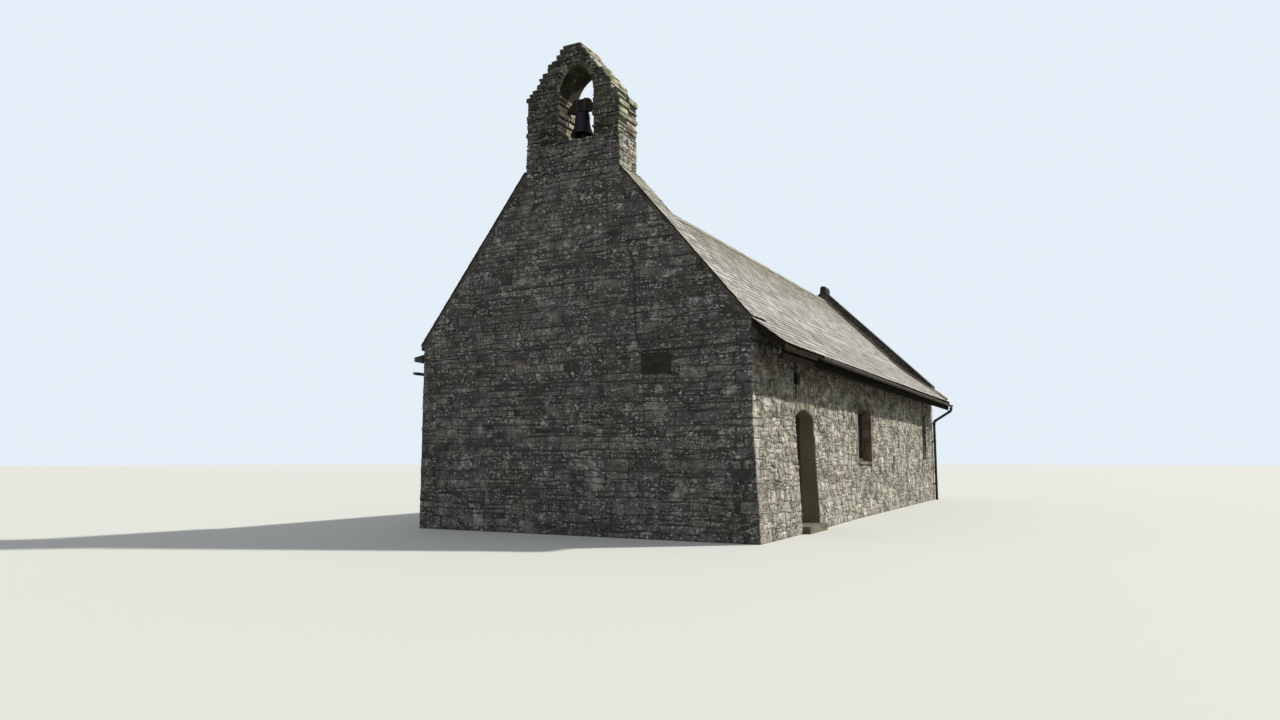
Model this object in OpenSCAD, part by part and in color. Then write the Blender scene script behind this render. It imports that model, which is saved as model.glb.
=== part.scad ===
// Small stone chapel: one long room under a slate roof, with a bellcote on its west gable.
// Millimetres. +Z up, +Y from the west gable to the east gable, +X to the south.
// The origin is at the middle of the plan, on the lowest ground.

/* [Building] */
// Width of the building over its side walls
building_w = 6400; // [5400:100:7400]
// Length of the building over its gables
building_l = 15740; // [13000:20:19000]
// Height of the flat wall head that carries the roof
wall_h = 3045; // [2700:5:3400]
// Thickness of the two side walls
side_wall_t = 750; // [600:10:900]
// Thickness of the west gable
west_wall_t = 700; // [640:10:900]
// Thickness of the east gable
east_wall_t = 520; // [450:10:800]
// How far the south-west corner leans out at its foot
batter = 100; // [20:5:160]
// Height at which that lean ends
batter_h = 1900; // [1400:50:1950]
// How far east of the doorway the lean fades out
batter_run = 3000; // [1500:100:3500]
// Thickness of the floor inside
floor_t = 100; // [60:5:150]

/* [Roof] */
// Pitch of the roof in degrees
roof_pitch = 45; // [43:0.5:46]
// How far inside the wall face the south slope turns flatter
eaves_turn = 850; // [500:50:1100]
// Pitch of the flatter south eaves in degrees
eaves_pitch = 37.7; // [34:0.1:42]
// Upright thickness of slates and boards together
roof_v = 105; // [70:5:140]
// How far the south slates reach past the wall
south_overhang = 520; // [350:10:650]
// How far the north slates reach past the wall
north_overhang = 200; // [120:10:300]
// Height of the ridge tiles above the slates
ridge_tile_v = 40; // [20:5:60]
// Reach of the ridge tiles down each slope
ridge_tile_w = 170; // [120:10:220]
// Number of roof trusses
truss_count = 4; // [2:1:6]
// Width of the truss timbers
truss_w = 150; // [100:5:200]
// Upright depth of the principal rafters
rafter_v = 200; // [150:5:240]
// Upright depth of the collars
collar_v = 150; // [120:5:200]
// Distance of the collars below the ridge
collar_drop = 1750; // [1500:50:1900]
// Number of purlins on each slope
purlin_count = 2; // [1:1:3]
// Upright depth of the purlins
purlin_v = 170; // [120:5:200]
// Height of the wall plates
plate_h = 75; // [50:5:100]
// Number of rafter feet under the south eaves
foot_count = 21; // [11:1:31]
// Width of the rafter feet
foot_w = 70; // [50:5:90]

/* [West gable] */
// Height of both gable slopes above the wall top, at the wall faces
verge_rise = 341; // [300:1:380]
// Slope of the south edge of the gable in degrees
south_gable_pitch = 50; // [48:0.5:51]
// Slope of the north edge of the gable in degrees
north_gable_pitch = 52.3; // [50:0.1:53]
// Distance of the bellcote's seat below the ridge
seat_drop = 350; // [300:10:450]
// Thickness of the slate capping on the gable edges
capping_t = 50; // [30:5:70]
// How far the capping stands out from the face
capping_lip = 18; // [5:1:40]
// Open joint between the capping and the bellcote, and between the capping and the roof's edge
capping_gap = 5; // [3:1:10]
// How far the north capping reaches past the wall face
north_capping_reach = 60; // [30:5:90]
// Length of each capping course that shows
capping_gauge = 130; // [100:5:200]
// Thickness of one capping slate
slate_t = 14; // [8:1:20]
// Reach of the kneeler at the south-west corner
kneeler_reach = 90; // [70:5:200]

/* [East gable] */
// Height of the east gable's top above the ridge
east_rise = 350; // [250:10:450]
// Slope of the east gable's edges in degrees
east_gable_pitch = 44.6; // [43:0.1:46]
// Thickness of the dark coping flags
flag_t = 60; // [40:5:90]
// Number of flags on each edge of the east gable
flag_count = 7; // [4:1:10]
// How far the lowest flag reaches past its kneeler
flag_lip = 10; // [0:1:30]
// Reach of the kneelers at the east corners
east_kneeler_reach = 90; // [60:5:140]
// Height of a kneeler's upper block
east_kneeler_h = 60; // [40:5:90]
// How far a kneeler's top lies below the underside of the roof
east_kneeler_drop = 40; // [20:5:60]
// Half of the apex stone's width
apex_w = 90; // [60:5:120]
// Height of the apex stone above the coping
apex_h = 120; // [60:5:160]

/* [Bellcote] */
// Width of the bellcote
bellcote_w = 1885; // [1700:5:2000]
// Sideways place of the bellcote's middle
bellcote_x = -28; // [-80:1:80]
// Thickness of the bellcote
bellcote_t = 630; // [560:10:640]
// Height of its sill above its seat
bell_sill_rise = 700; // [600:10:800]
// Width of its opening
bell_opening_w = 670; // [600:10:740]
// Sideways place of the opening's middle
bell_opening_x = 55; // [0:5:80]
// Height of the jambs of its opening
bell_jamb_h = 850; // [760:10:940]
// Rise of its pointed arch
bell_arch_rise = 470; // [400:10:500]
// Depth of the arch stones
ring_t = 105; // [80:5:120]
// Number of arch stones on each side
ring_stones = 8; // [5:1:11]
// Height of masonry above the crown of the arch
crown_cover = 410; // [370:10:460]
// Height of the bellcote's south eaves above the sill
south_eaves_rise = 650; // [600:10:720]
// Height of the bellcote's north eaves above the sill
north_eaves_rise = 900; // [860:10:960]
// Half width of the bellcote's top slab
top_slab_half = 150; // [110:5:170]
// Height of one slab course of the gablet
slab_h = 72; // [50:2:100]

/* [Bell] */
// Radius of the bell at its mouth
bell_r = 205; // [160:5:220]
// Height of the bell
bell_h = 390; // [320:5:420]
// Height of the bell's mouth above the sill
bell_hang = 180; // [150:5:220]
// Sideways place of the bell
bell_x = 0; // [-20:5:60]
// Thickness of the bell metal
bell_wall = 14; // [10:1:20]
// Radius of the gudgeon pins
gudgeon_r = 14; // [10:1:18]
// Running clearance of the pins in their bores
pin_clear = 0.08; // [0.02:0.01:0.1]
// Height of the headstock at its ends
headstock_end_h = 110; // [90:5:130]
// Height of the headstock at its middle
headstock_h = 215; // [160:5:240]
// Width of the timber headstock
headstock_w = 120; // [80:5:150]
// Space between the headstock and the piers
headstock_clear = 50; // [30:5:70]
// Thickness of the iron straps
strap_t = 8; // [5:1:12]
// Width of the iron straps
strap_w = 34; // [20:2:50]

/* [Doorway] */
// Distance of the doorway from the west face
door_from_west = 2050; // [1900:10:2600]
// Clear width of the doorway
door_w = 1030; // [850:10:1150]
// Height at which its arch springs
door_spring_z = 1950; // [1850:10:2000]
// Rise of its arch
door_rise = 140; // [80:5:180]
// Length of the arch stones
voussoir_l = 300; // [200:10:340]
// Number of arch stones
voussoir_count = 11; // [7:2:15]
// Depth of the outer reveal
reveal_d = 250; // [180:10:300]
// Depth of the door frame
frame_d = 75; // [60:5:100]
// Width of the door frame behind the stone
frame_w = 70; // [50:5:90]
// Thickness of the door leaf
leaf_t = 45; // [35:1:60]
// Space round the door leaf
leaf_clear = 8; // [6:1:12]
// Number of boards in the door leaf
board_count = 6; // [4:1:8]
// Radius of the door pins
pin_r = 8; // [6:1:10]
// Height of the lower hinge
low_hinge_z = 450; // [350:10:600]
// Height of the upper hinge
high_hinge_z = 1620; // [1400:10:1700]
// Length of the strap hinges
strap_l = 720; // [500:10:850]
// Height of the threshold stone
threshold_h = 120; // [105:5:160]

/* [Windows] */
// Distance of the nave window from the west face
nave_window_y = 6350; // [6000:10:7200]
// Width of the nave window
nave_window_w = 1200; // [800:10:1500]
// Height of the nave window's sill
nave_sill_z = 1200; // [1000:10:1500]
// Height of the nave window's head
nave_head_z = 2300; // [2100:10:2500]
// Distance of the chancel window from the east face
chancel_window_y = 1240; // [1000:10:2500]
// Width of the chancel window
chancel_window_w = 600; // [400:10:800]
// Height of the chancel window's sill
chancel_sill_z = 1340; // [1100:10:1600]
// Height of the chancel window's head
chancel_head_z = 2480; // [2200:10:2600]
// Width of the east window
east_window_w = 1400; // [1000:10:1800]
// Height of the east window's sill
east_sill_z = 1400; // [1200:10:1700]
// Height of the east window's head
east_head_z = 2900; // [2500:10:3200]
// Depth of the windows behind the wall face
window_depth = 180; // [120:10:240]
// Height of the lintel stones
lintel_h = 150; // [100:10:200]
// Bearing of the lintel stones beside the windows
lintel_bearing = 150; // [100:10:200]
// Depth of the lintel stones into the wall
lintel_d = 260; // [200:10:350]
// Height of the sill stones
sill_h = 80; // [60:5:120]
// How far the sill stones stand out
sill_lip = 40; // [20:5:60]
// Width of the brick jambs of the nave windows
brick_w = 110; // [80:5:120]
// Width of the window frame's bars
bar_w = 50; // [35:5:70]
// Depth of the window frames
window_frame_d = 60; // [50:5:80]
// Thickness of the glass
glass_t = 6; // [4:1:8]

/* [Rainwater] */
// Radius of the half-round gutters
gutter_r = 50; // [45:1:60]
// Thickness of the gutter metal
gutter_t = 5; // [4:1:8]
// How far the gutters fall from west to east
gutter_fall = 60; // [20:5:90]
// From the cut edge of the south roof to the gutter
gutter_clear = 8; // [6:1:20]
// How far the south gutter's rim hangs below the roof's edge
gutter_drop = 30; // [20:5:40]
// Where the south gutter begins, measured from the west face
gutter_from_west = 1720; // [1600:10:2000]
// From each end of a gutter to its nearest bracket
bracket_inset = 400; // [300:10:500]
// Number of gutter brackets on each side
bracket_count = 10; // [6:1:14]
// Radius of the downpipe
pipe_r = 38; // [30:1:50]
// Radius of the swan neck's bends
bend_r = 95; // [80:5:120]
// Slant of the swan neck from upright in degrees
neck_angle = 58; // [45:1:70]
// Distance of the downpipe from the east face
pipe_from_east = 150; // [120:10:300]

/* [Fixings] */
// Width of the plain slate plaque
plaque_w = 520; // [400:10:600]
// Height of the plain slate plaque
plaque_h = 340; // [250:10:400]
// Thickness of the plain slate plaque
plaque_t = 25; // [15:1:40]
// Sideways place of the plaque's edge
plaque_x = 1340; // [1200:10:1500]
// Height of the plaque's lower edge
plaque_z = 2580; // [2400:10:2600]
// Radius of the clipped cable
cable_r = 11; // [6:1:13]
// Height at which the cable leaves the south verge
cable_top_z = 4790; // [4600:10:5000]
// How far the cable runs down the gable beside the plaque
cable_side = 110; // [80:5:150]
// Radius of the two insulators
insulator_r = 45; // [30:1:55]
// Height of the two insulators
insulator_h = 90; // [60:5:110]
// From the west face to the first insulator
insulator_y = 1100; // [800:10:1300]
// Between the two insulators
insulator_gap = 500; // [400:10:550]
// How far the insulators hang below the wall top
insulator_drop = 110; // [90:5:140]
// Height of the fuse box
box_h = 180; // [120:10:220]
// Width of the fuse box
box_w = 120; // [80:10:160]
// Depth of the fuse box
box_d = 70; // [50:5:100]

/* [Hidden] */

seat = 0.3;
west_y = -building_l / 2;
east_y = building_l / 2;
west_in = west_y + west_wall_t;
east_in = east_y - east_wall_t;
half_w = building_w / 2;
inner_x = half_w - side_wall_t;
far = 20000;

wall_seat_z = wall_h + roof_v;
ridge_h = wall_seat_z + half_w * tan(roof_pitch);
knee_x = half_w - eaves_turn;
filling_t = 200;

bellcote_x0 = bellcote_x - bellcote_w / 2;
bellcote_x1 = bellcote_x + bellcote_w / 2;
bellcote_y1 = west_y + bellcote_t;
bellcote_seat_z = ridge_h - seat_drop;
bell_sill_z = bellcote_seat_z + bell_sill_rise;
bell_spring_z = bell_sill_z + bell_jamb_h;
south_eaves_z = bell_sill_z + south_eaves_rise;
north_eaves_z = bell_sill_z + north_eaves_rise;
bellcote_top_z = bell_spring_z + bell_arch_rise + crown_cover;
opening_x0 = bell_opening_x - bell_opening_w / 2;
opening_x1 = bell_opening_x + bell_opening_w / 2;
arch_offset = (bell_arch_rise * bell_arch_rise - pow(bell_opening_w / 2, 2)) / bell_opening_w;
arch_r = bell_opening_w / 2 + arch_offset;
arch_sweep = acos(arch_offset / arch_r);

door_y0 = west_y + door_from_west;
door_y1 = door_y0 + door_w;
door_mid = (door_y0 + door_y1) / 2;
door_half = door_w / 2;
door_arc_r = (door_half * door_half + door_rise * door_rise) / (2 * door_rise);
door_arc_z = door_spring_z + door_rise - door_arc_r;
door_arc_angle = asin(door_half / door_arc_r);
door_head_z = door_spring_z + door_rise + 110;
mortar = 0.6;
frame_out = half_w - reveal_d;
frame_in = frame_out - frame_d;
barrel_r = 2 * pin_r;
hinge_x = frame_in - barrel_r - 4;
hinge_y = door_y0 + 3;
hinge_heights = [low_hinge_z, high_hinge_z];

nave_y0 = west_y + nave_window_y;
nave_y1 = nave_y0 + nave_window_w;
chancel_y1 = east_y - chancel_window_y;
chancel_y0 = chancel_y1 - chancel_window_w;
nave_split_y = (nave_y1 + chancel_y0) / 2;
side_windows = [[nave_y0, nave_window_w, nave_sill_z, nave_head_z],
    [chancel_y0, chancel_window_w, chancel_sill_z, chancel_head_z]];

bell_y = west_y + bellcote_t / 2;
bell_mouth_z = bell_sill_z + bell_hang;
crown_block_h = 30;
headstock_z = bell_mouth_z + bell_h + crown_block_h;
swing_z = headstock_z + headstock_end_h / 2;

function roof_top(x, turn) =
    x <= turn ? ridge_h - x * tan(roof_pitch)
              : ridge_h - turn * tan(roof_pitch) - (x - turn) * tan(eaves_pitch);
function south_top(x) = roof_top(x, knee_x);
function north_top(x) = roof_top(x, far);
function slope_z(slope, x) = slope[1] - (x - slope[0]) * tan(slope[2]);
south_slope = [half_w, wall_h + verge_rise, south_gable_pitch];
north_slope = [half_w, wall_h + verge_rise, north_gable_pitch];
east_slope = [0, ridge_h + east_rise, east_gable_pitch];
function under(slope, t, x) = slope_z(slope, x) - t / cos(slope[2]);
function under_x(slope, t, z) = slope[0] + (slope[1] - t / cos(slope[2]) - z) / tan(slope[2]);
south_eaves_x = half_w + south_overhang;
north_eaves_x = half_w + north_overhang;

module along_y(y0, y1) {
    translate([0, y1, 0]) rotate([90, 0, 0]) linear_extrude(y1 - y0) children();
}

module along_x(x0, x1) {
    translate([x0, 0, 0]) rotate([90, 0, 90]) linear_extrude(x1 - x0) children();
}

module block(x0, x1, y0, y1, z0, z1) {
    translate([x0, y0, z0]) cube([x1 - x0, y1 - y0, z1 - z0]);
}

// West gable wall, with a notch that the bellcote stands in and a thin part that rises behind it
module west_gable() {
    south_z = under(south_slope, capping_t, bellcote_x1 + mortar);
    north_z = under(north_slope, capping_t, mortar - bellcote_x0);
    color("#6f6c66") {
        along_y(west_y, west_in) polygon([
            [-half_w, 0], [half_w + batter, 0], [half_w, batter_h],
            [half_w, under(south_slope, capping_t, half_w)], [bellcote_x1 + mortar, south_z],
            [bellcote_x1 + mortar, bellcote_seat_z], [bellcote_x0 - mortar, bellcote_seat_z],
            [bellcote_x0 - mortar, north_z], [-half_w, under(north_slope, capping_t, half_w)]]);
        along_y(bellcote_y1 + mortar, west_in) polygon([
            [bellcote_x0 - 1, bellcote_seat_z - 1], [bellcote_x1 + 1, bellcote_seat_z - 1],
            [bellcote_x1 + 1, min(south_z - 5, ridge_h)], [0, ridge_h],
            [bellcote_x0 - 1, min(north_z - 5, ridge_h)]]);
    }
}

// Bellcote
module bellcote_base() {
    color("#7b7768") block(bellcote_x0, bellcote_x1, west_y, bellcote_y1, bellcote_seat_z, bell_sill_z);
}

// The edges of the gablet step in by one slab course after another, a little unevenly
function ragged(k) = 14 * sin(137 * k);
function gablet_courses(eaves_z) = floor((bellcote_top_z - eaves_z) / slab_h);
function gablet_half(k, count, phase) = let (share = (k + 0.5) / count)
    max(top_slab_half, bellcote_w / 2 + (top_slab_half - bellcote_w / 2) * share + ragged(k + phase));

// Corners of one stepped edge, from the eaves up, with x counted from the bellcote's middle
function gablet_edge(eaves_z, phase) =
    let (count = gablet_courses(eaves_z), step = (bellcote_top_z - eaves_z) / count)
    [for (k = [0 : count - 1], top = [0, 1])
        [gablet_half(k, count, phase), eaves_z + (k + top) * step]];
function reversed(list) = [for (i = [len(list) - 1 : -1 : 0]) list[i]];

module bellcote_outline(z0, z1) {
    intersection() {
        translate([bellcote_x0, z0]) square([bellcote_w, z1 - z0]);
        translate([bellcote_x, 0]) polygon(concat(
            [[-bellcote_w / 2, bellcote_seat_z], [bellcote_w / 2, bellcote_seat_z]],
            [[bellcote_w / 2, south_eaves_z]], gablet_edge(south_eaves_z, 0),
            [for (p = reversed(gablet_edge(north_eaves_z, 5))) [-p.x, p.y]],
            [[-bellcote_w / 2, north_eaves_z]]));
    }
}

module bellcote_pier(x0, x1) {
    color("#7d7969") along_y(west_y, bellcote_y1) intersection() {
        translate([x0, bell_sill_z]) square([x1 - x0, bell_jamb_h]);
        bellcote_outline(bell_sill_z, bell_spring_z);
    }
}

module bellcote_north_pier() {
    bellcote_pier(bellcote_x0, opening_x0);
}

module bellcote_south_pier() {
    bellcote_pier(opening_x1, bellcote_x1);
}

// One side of the pointed arch, as separate radial stones
module arch_side() {
    step = arch_sweep / ring_stones;
    gap = mortar / arch_r * 180 / PI / 2;
    for (i = [0 : ring_stones - 1]) {
        a0 = i * step + gap;
        a1 = i == ring_stones - 1 ? 90 : (i + 1) * step - gap;
        along_y(west_y, bellcote_y1) intersection() {
            translate([-arch_offset, 0]) difference() {
                circle(arch_r + ring_t, $fn = 120);
                circle(arch_r, $fn = 120);
            }
            translate([-arch_offset, 0]) polygon([[0, 0], 4 * arch_r * [cos(a0), sin(a0)],
                4 * arch_r * [cos(a1), sin(a1)]]);
            translate([mortar / 2, -1]) square([2 * arch_r, 2 * arch_r]);
        }
    }
}

module bellcote_arch() {
    color("#827d6c") translate([bell_opening_x, 0, bell_spring_z]) {
        arch_side();
        mirror([1, 0, 0]) arch_side();
    }
}

module bellcote_gablet() {
    color("#7f7a69") along_y(west_y, bellcote_y1) difference() {
        bellcote_outline(bell_spring_z, bellcote_top_z);
        translate([bell_opening_x, bell_spring_z]) intersection() {
            translate([-arch_offset, 0]) circle(arch_r + ring_t + mortar, $fn = 120);
            translate([arch_offset, 0]) circle(arch_r + ring_t + mortar, $fn = 120);
        }
    }
}

// Slate capping on the sloping edges of the west gable, each course lapping the next
module capping(slope, x0, x1) {
    count = round((x1 - x0) / (capping_gauge * cos(slope[2])));
    step = (x1 - x0) / count;
    along_y(west_y - capping_lip, west_in) polygon(concat(
        [[x0, under(slope, capping_t, x0) + seat]],
        [for (i = [0 : count - 1]) each [[x0 + i * step, slope_z(slope, x0 + i * step)],
            [x0 + (i + 1) * step, slope_z(slope, x0 + (i + 1) * step) + slate_t]]],
        [[x1, under(slope, capping_t, x1) + seat]]));
}

module west_coping_south() {
    color("#8d897c") capping(south_slope, bellcote_x1 + capping_gap, half_w - capping_gap);
}

module west_coping_north() {
    color("#7b786e") mirror([1, 0, 0])
        capping(north_slope, capping_gap - bellcote_x0, half_w + north_capping_reach);
}

module west_kneelers() {
    top = south_top(half_w + kneeler_reach) - roof_v - seat;
    color("#77736a") {
        along_y(west_y - capping_lip, west_in - 100) polygon([
            [half_w + seat, wall_h - 20], [half_w + 0.7 * kneeler_reach, wall_h + 15],
            [half_w + kneeler_reach, wall_h + 55], [half_w + kneeler_reach, top],
            [half_w + seat, south_top(half_w) - roof_v - seat]]);
        along_y(west_y - capping_lip, west_in - 100) polygon([
            [-half_w - seat, wall_h - 60], [-half_w - 210, wall_h - 20],
            [-half_w - 210, wall_h + 60], [-half_w - seat, wall_h + 100]]);
    }
}

// South wall
module side_profile(lean, z0 = 0) {
    polygon(concat([[inner_x, z0]], z0 < batter_h ? [[half_w + lean, z0]] : [], [[half_w, max(z0, batter_h)],
        [half_w, south_top(half_w) - roof_v - seat],
        [half_w - filling_t, south_top(half_w - filling_t) - roof_v - seat],
        [half_w - filling_t, wall_h], [inner_x, wall_h]]));
}

module foot_profile(lean) {
    polygon([[inner_x, 0], [half_w + lean, 0], [half_w, batter_h], [inner_x, batter_h]]);
}

// The seat of the door arch in the walls beside it, and the wider space behind the door frame
module door_seat() {
    reach = 3 * door_arc_r;
    a = door_arc_angle + 0.15;
    along_x(frame_out - 1, half_w + 400) translate([door_mid, door_arc_z]) intersection() {
        circle(door_arc_r + voussoir_l + mortar, $fn = 180);
        polygon([[0, 0], [-reach * sin(a), reach * cos(a)], [reach * sin(a), reach * cos(a)]]);
    }
    block(inner_x - 10, frame_out, door_y0 - frame_w, door_y1 + frame_w, -10, door_head_z);
}

module south_wall_west() {
    color("#9a968a") difference() {
        along_y(west_in, door_y0) side_profile(batter);
        door_seat();
    }
}

module south_wall_over_door() {
    color("#9a968a") difference() {
        along_y(door_y0, door_y1) polygon([[inner_x, door_head_z], [frame_out, door_head_z],
            [frame_out, door_spring_z + 10], [half_w, door_spring_z + 10],
            [half_w, south_top(half_w) - roof_v - seat],
            [half_w - filling_t, south_top(half_w - filling_t) - roof_v - seat],
            [half_w - filling_t, wall_h], [inner_x, wall_h]]);
        translate([frame_out - 1, door_mid, door_arc_z]) rotate([0, 90, 0])
            cylinder(r = door_arc_r + voussoir_l + mortar, h = reveal_d + 100, $fn = 180);
    }
}

module window_void(y, w, z0, z1) {
    block(inner_x - 10, half_w + 50, y, y + w, z0 - sill_h, z1);
    block(half_w - lintel_d, half_w + 50, y - lintel_bearing, y + w + lintel_bearing, z1, z1 + lintel_h);
}

module brick_void() {
    for (y = [nave_y0 - brick_w, nave_y1])
        block(half_w - lintel_d, half_w + 50, y, y + brick_w, nave_sill_z - sill_h, nave_head_z);
}

module nave_voids() {
    door_seat();
    window_void(nave_y0, nave_window_w, nave_sill_z, nave_head_z);
    brick_void();
}

module south_wall_nave() {
    color("#9a968a") {
        difference() {
            hull() {
                along_y(door_y1, door_y1 + 1) foot_profile(batter);
                along_y(door_y1 + batter_run - 1, door_y1 + batter_run) foot_profile(0);
            }
            nave_voids();
        }
        difference() {
            union() {
                along_y(door_y1 + batter_run, nave_split_y) side_profile(0);
                along_y(door_y1, door_y1 + batter_run) side_profile(0, batter_h);
            }
            nave_voids();
        }
    }
}

module south_wall_chancel() {
    color("#9a968a") difference() {
        along_y(nave_split_y, east_in) side_profile(0);
        window_void(chancel_y0, chancel_window_w, chancel_sill_z, chancel_head_z);
    }
}

// Doorway stonework
module door_arch() {
    step = 2 * door_arc_angle / voussoir_count;
    gap = mortar / door_arc_r * 180 / PI / 2;
    reach = 3 * door_arc_r;
    color("#8f8b7e") for (i = [0 : voussoir_count - 1])
        along_x(frame_out, half_w) translate([door_mid, door_arc_z])
            rotate(-door_arc_angle + i * step) intersection() {
                difference() {
                    circle(door_arc_r + voussoir_l, $fn = 180);
                    circle(door_arc_r, $fn = 180);
                }
                polygon([[0, 0], [-reach * sin(gap), reach * cos(gap)],
                    [-reach * sin(step - gap), reach * cos(step - gap)]]);
            }
}

module threshold() {
    color("#7c7a72")
        block(frame_in - 20, half_w + batter + 120, door_y0 + seat, door_y1 - seat, 0, threshold_h);
}

module door_outline(grow) {
    intersection() {
        translate([door_y0 - grow, 0]) square([door_w + 2 * grow, door_head_z]);
        union() {
            translate([door_y0 - grow, 0]) square([door_w + 2 * grow, door_spring_z]);
            translate([door_mid, door_arc_z]) circle(door_arc_r + grow, $fn = 180);
        }
    }
}

// Door
module door_frame() {
    color("#5c4632") along_x(frame_in, frame_out - 2 * seat) difference() {
        translate([door_y0 - frame_w + seat, floor_t]) square([door_w + 2 * frame_w - 2 * seat,
            door_head_z - floor_t - seat]);
        door_outline(0);
    }
}

leaf_z = threshold_h + 10;
inner_skin = 15;

module door_leaf() {
    board_w = (door_w - 2 * leaf_clear) / board_count;
    color("#4a3a2b") {
        along_x(frame_in + inner_skin - 1, frame_in + leaf_t) for (i = [0 : board_count - 1]) intersection() {
            door_outline(-leaf_clear);
            translate([door_y0 + leaf_clear + i * board_w, leaf_z]) square([board_w - 4, door_head_z]);
        }
        along_x(frame_in, frame_in + inner_skin) intersection() {
            door_outline(-leaf_clear);
            translate([door_y0, leaf_z]) square([door_w, door_head_z]);
        }
    }
}

module strap_hinge(z) {
    difference() {
        union() {
            translate([0, hinge_y + pin_r, z + 28]) along_x(frame_in - strap_t, frame_in - seat)
                polygon([[0, -26], [strap_l - 90, -14], [strap_l - 70, -30], [strap_l - 30, 0],
                    [strap_l - 70, 30], [strap_l - 90, 14], [0, 26]]);
            block(hinge_x + 1.5 * pin_r, frame_in - seat, hinge_y + pin_r / 2, hinge_y + 40, z + 5, z + 51);
            translate([hinge_x, hinge_y, z - 4]) cylinder(r = barrel_r, h = 64, $fn = 32);
        }
        translate([hinge_x, hinge_y, z - 20]) cylinder(r = pin_r + pin_clear, h = 100, $fn = 32);
    }
}

module door_ironwork() {
    handle_y = door_y1 - 110;
    handle_z = 1130;
    outer = frame_in + leaf_t + seat;
    color("#2b2927") {
        for (z = hinge_heights) strap_hinge(z);
        translate([outer, handle_y, handle_z]) rotate([0, 90, 0]) cylinder(r = 32, h = 6, $fn = 32);
        translate([outer + 5, handle_y, handle_z]) rotate([0, 90, 0]) cylinder(r = 13, h = 22, $fn = 24);
        translate([outer + 17, handle_y, handle_z - 40]) rotate([0, 90, 0])
            rotate_extrude($fn = 48) translate([40, 0]) circle(8, $fn = 24);
        block(outer, outer + 4, handle_y - 24, handle_y + 24, handle_z - 210, handle_z - 110);
    }
}

module door_pintles() {
    color("#2b2927") for (z = hinge_heights) {
        block(frame_in - 8, frame_in - seat, door_y0 - 62, door_y0 - 6, z - 80, z - 5);
        block(hinge_x - 12, frame_in - 8, door_y0 - 62, hinge_y + 11, z - 25, z - 5);
        translate([hinge_x, hinge_y, z - 6]) cylinder(r = pin_r, h = 72, $fn = 32);
    }
}

// North wall, the mirror of the south one without its door
module north_wall() {
    color("#8c887c") mirror([1, 0, 0]) difference() {
        along_y(west_in, east_in) polygon([[inner_x, 0], [half_w, 0],
            [half_w, north_top(half_w) - roof_v - seat],
            [half_w - filling_t, north_top(half_w - filling_t) - roof_v - seat],
            [half_w - filling_t, wall_h - seat], [inner_x, wall_h - seat]]);
        for (s = side_windows) window_void(s[0], s[1], s[2], s[3]);
        brick_void();
    }
}

// East gable
module east_gable() {
    half = east_window_w / 2;
    color("#85827a") difference() {
        along_y(east_in, east_y) polygon([[-half_w, 0], [half_w, 0],
            [half_w, under(east_slope, flag_t, half_w)], [0, under(east_slope, flag_t, 0)],
            [-half_w, under(east_slope, flag_t, half_w)]]);
        block(-half, half, east_in - 10, east_y + 10, east_sill_z - sill_h, east_head_z);
        block(-half - lintel_bearing, half + lintel_bearing, east_y - lintel_d, east_y + 10,
            east_head_z, east_head_z + lintel_h);
    }
}

module east_flags() {
    reach = half_w + east_kneeler_reach + flag_lip;
    step = (reach - apex_w) / flag_count;
    for (i = [0 : flag_count - 1]) {
        x0 = apex_w + i * step + mortar;
        x1 = apex_w + (i + 1) * step;
        along_y(east_in, east_y + capping_lip) polygon([
            [x0, under(east_slope, flag_t, x0) + seat], [x1, under(east_slope, flag_t, x1) + seat],
            [x1, slope_z(east_slope, x1)], [x0, slope_z(east_slope, x0)]]);
    }
}

module east_copings() {
    color("#4b4a48") {
        east_flags();
        mirror([1, 0, 0]) east_flags();
    }
}

// Kneelers with a hollow curve underneath
module east_kneelers() {
    x1 = half_w + east_kneeler_reach;
    drop = 2 * east_kneeler_reach;
    color("#6c6a64") for (side = [0, 1]) mirror([side, 0, 0]) along_y(east_in, east_y) difference() {
        top = south_top(x1) - roof_v - east_kneeler_drop;
        low = top - drop - east_kneeler_h;
        polygon([[half_w + seat, low], [x1, low], [x1, top], [half_w + seat, top + east_kneeler_drop]]);
        translate([x1, low]) circle(east_kneeler_reach * 0.8, $fn = 60);
    }
}

module apex_stone() {
    base = under(east_slope, flag_t, apex_w) + seat;
    top = slope_z(east_slope, 0);
    color("#5b5954") along_y(east_in, east_y) polygon([
        [-apex_w, base], [0, under(east_slope, flag_t, 0) + seat], [apex_w, base],
        [apex_w, top + apex_h / 3], [apex_w * 2 / 3, top + apex_h], [-apex_w * 2 / 3, top + apex_h],
        [-apex_w, top + apex_h / 3]]);
}

// Roof
module south_roof() {
    color("#77736a") {
        along_y(west_in + seat, east_in - seat) polygon([[0, ridge_h], [knee_x, south_top(knee_x)],
            [south_eaves_x, south_top(south_eaves_x)],
            [south_eaves_x, south_top(south_eaves_x) - roof_v],
            [knee_x, south_top(knee_x) - roof_v], [0, ridge_h - roof_v]]);
        along_y(west_y, east_y) polygon([[half_w + seat, south_top(half_w + seat)],
            [south_eaves_x, south_top(south_eaves_x)],
            [south_eaves_x, south_top(south_eaves_x) - roof_v],
            [half_w + seat, south_top(half_w + seat) - roof_v]]);
    }
}

module north_roof() {
    color("#6c6963") mirror([1, 0, 0]) along_y(west_in + seat, east_in - seat) polygon([
        [seat, north_top(seat)], [north_eaves_x, north_top(north_eaves_x)],
        [north_eaves_x, north_top(north_eaves_x) - roof_v], [seat, north_top(seat) - roof_v]]);
}

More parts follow.
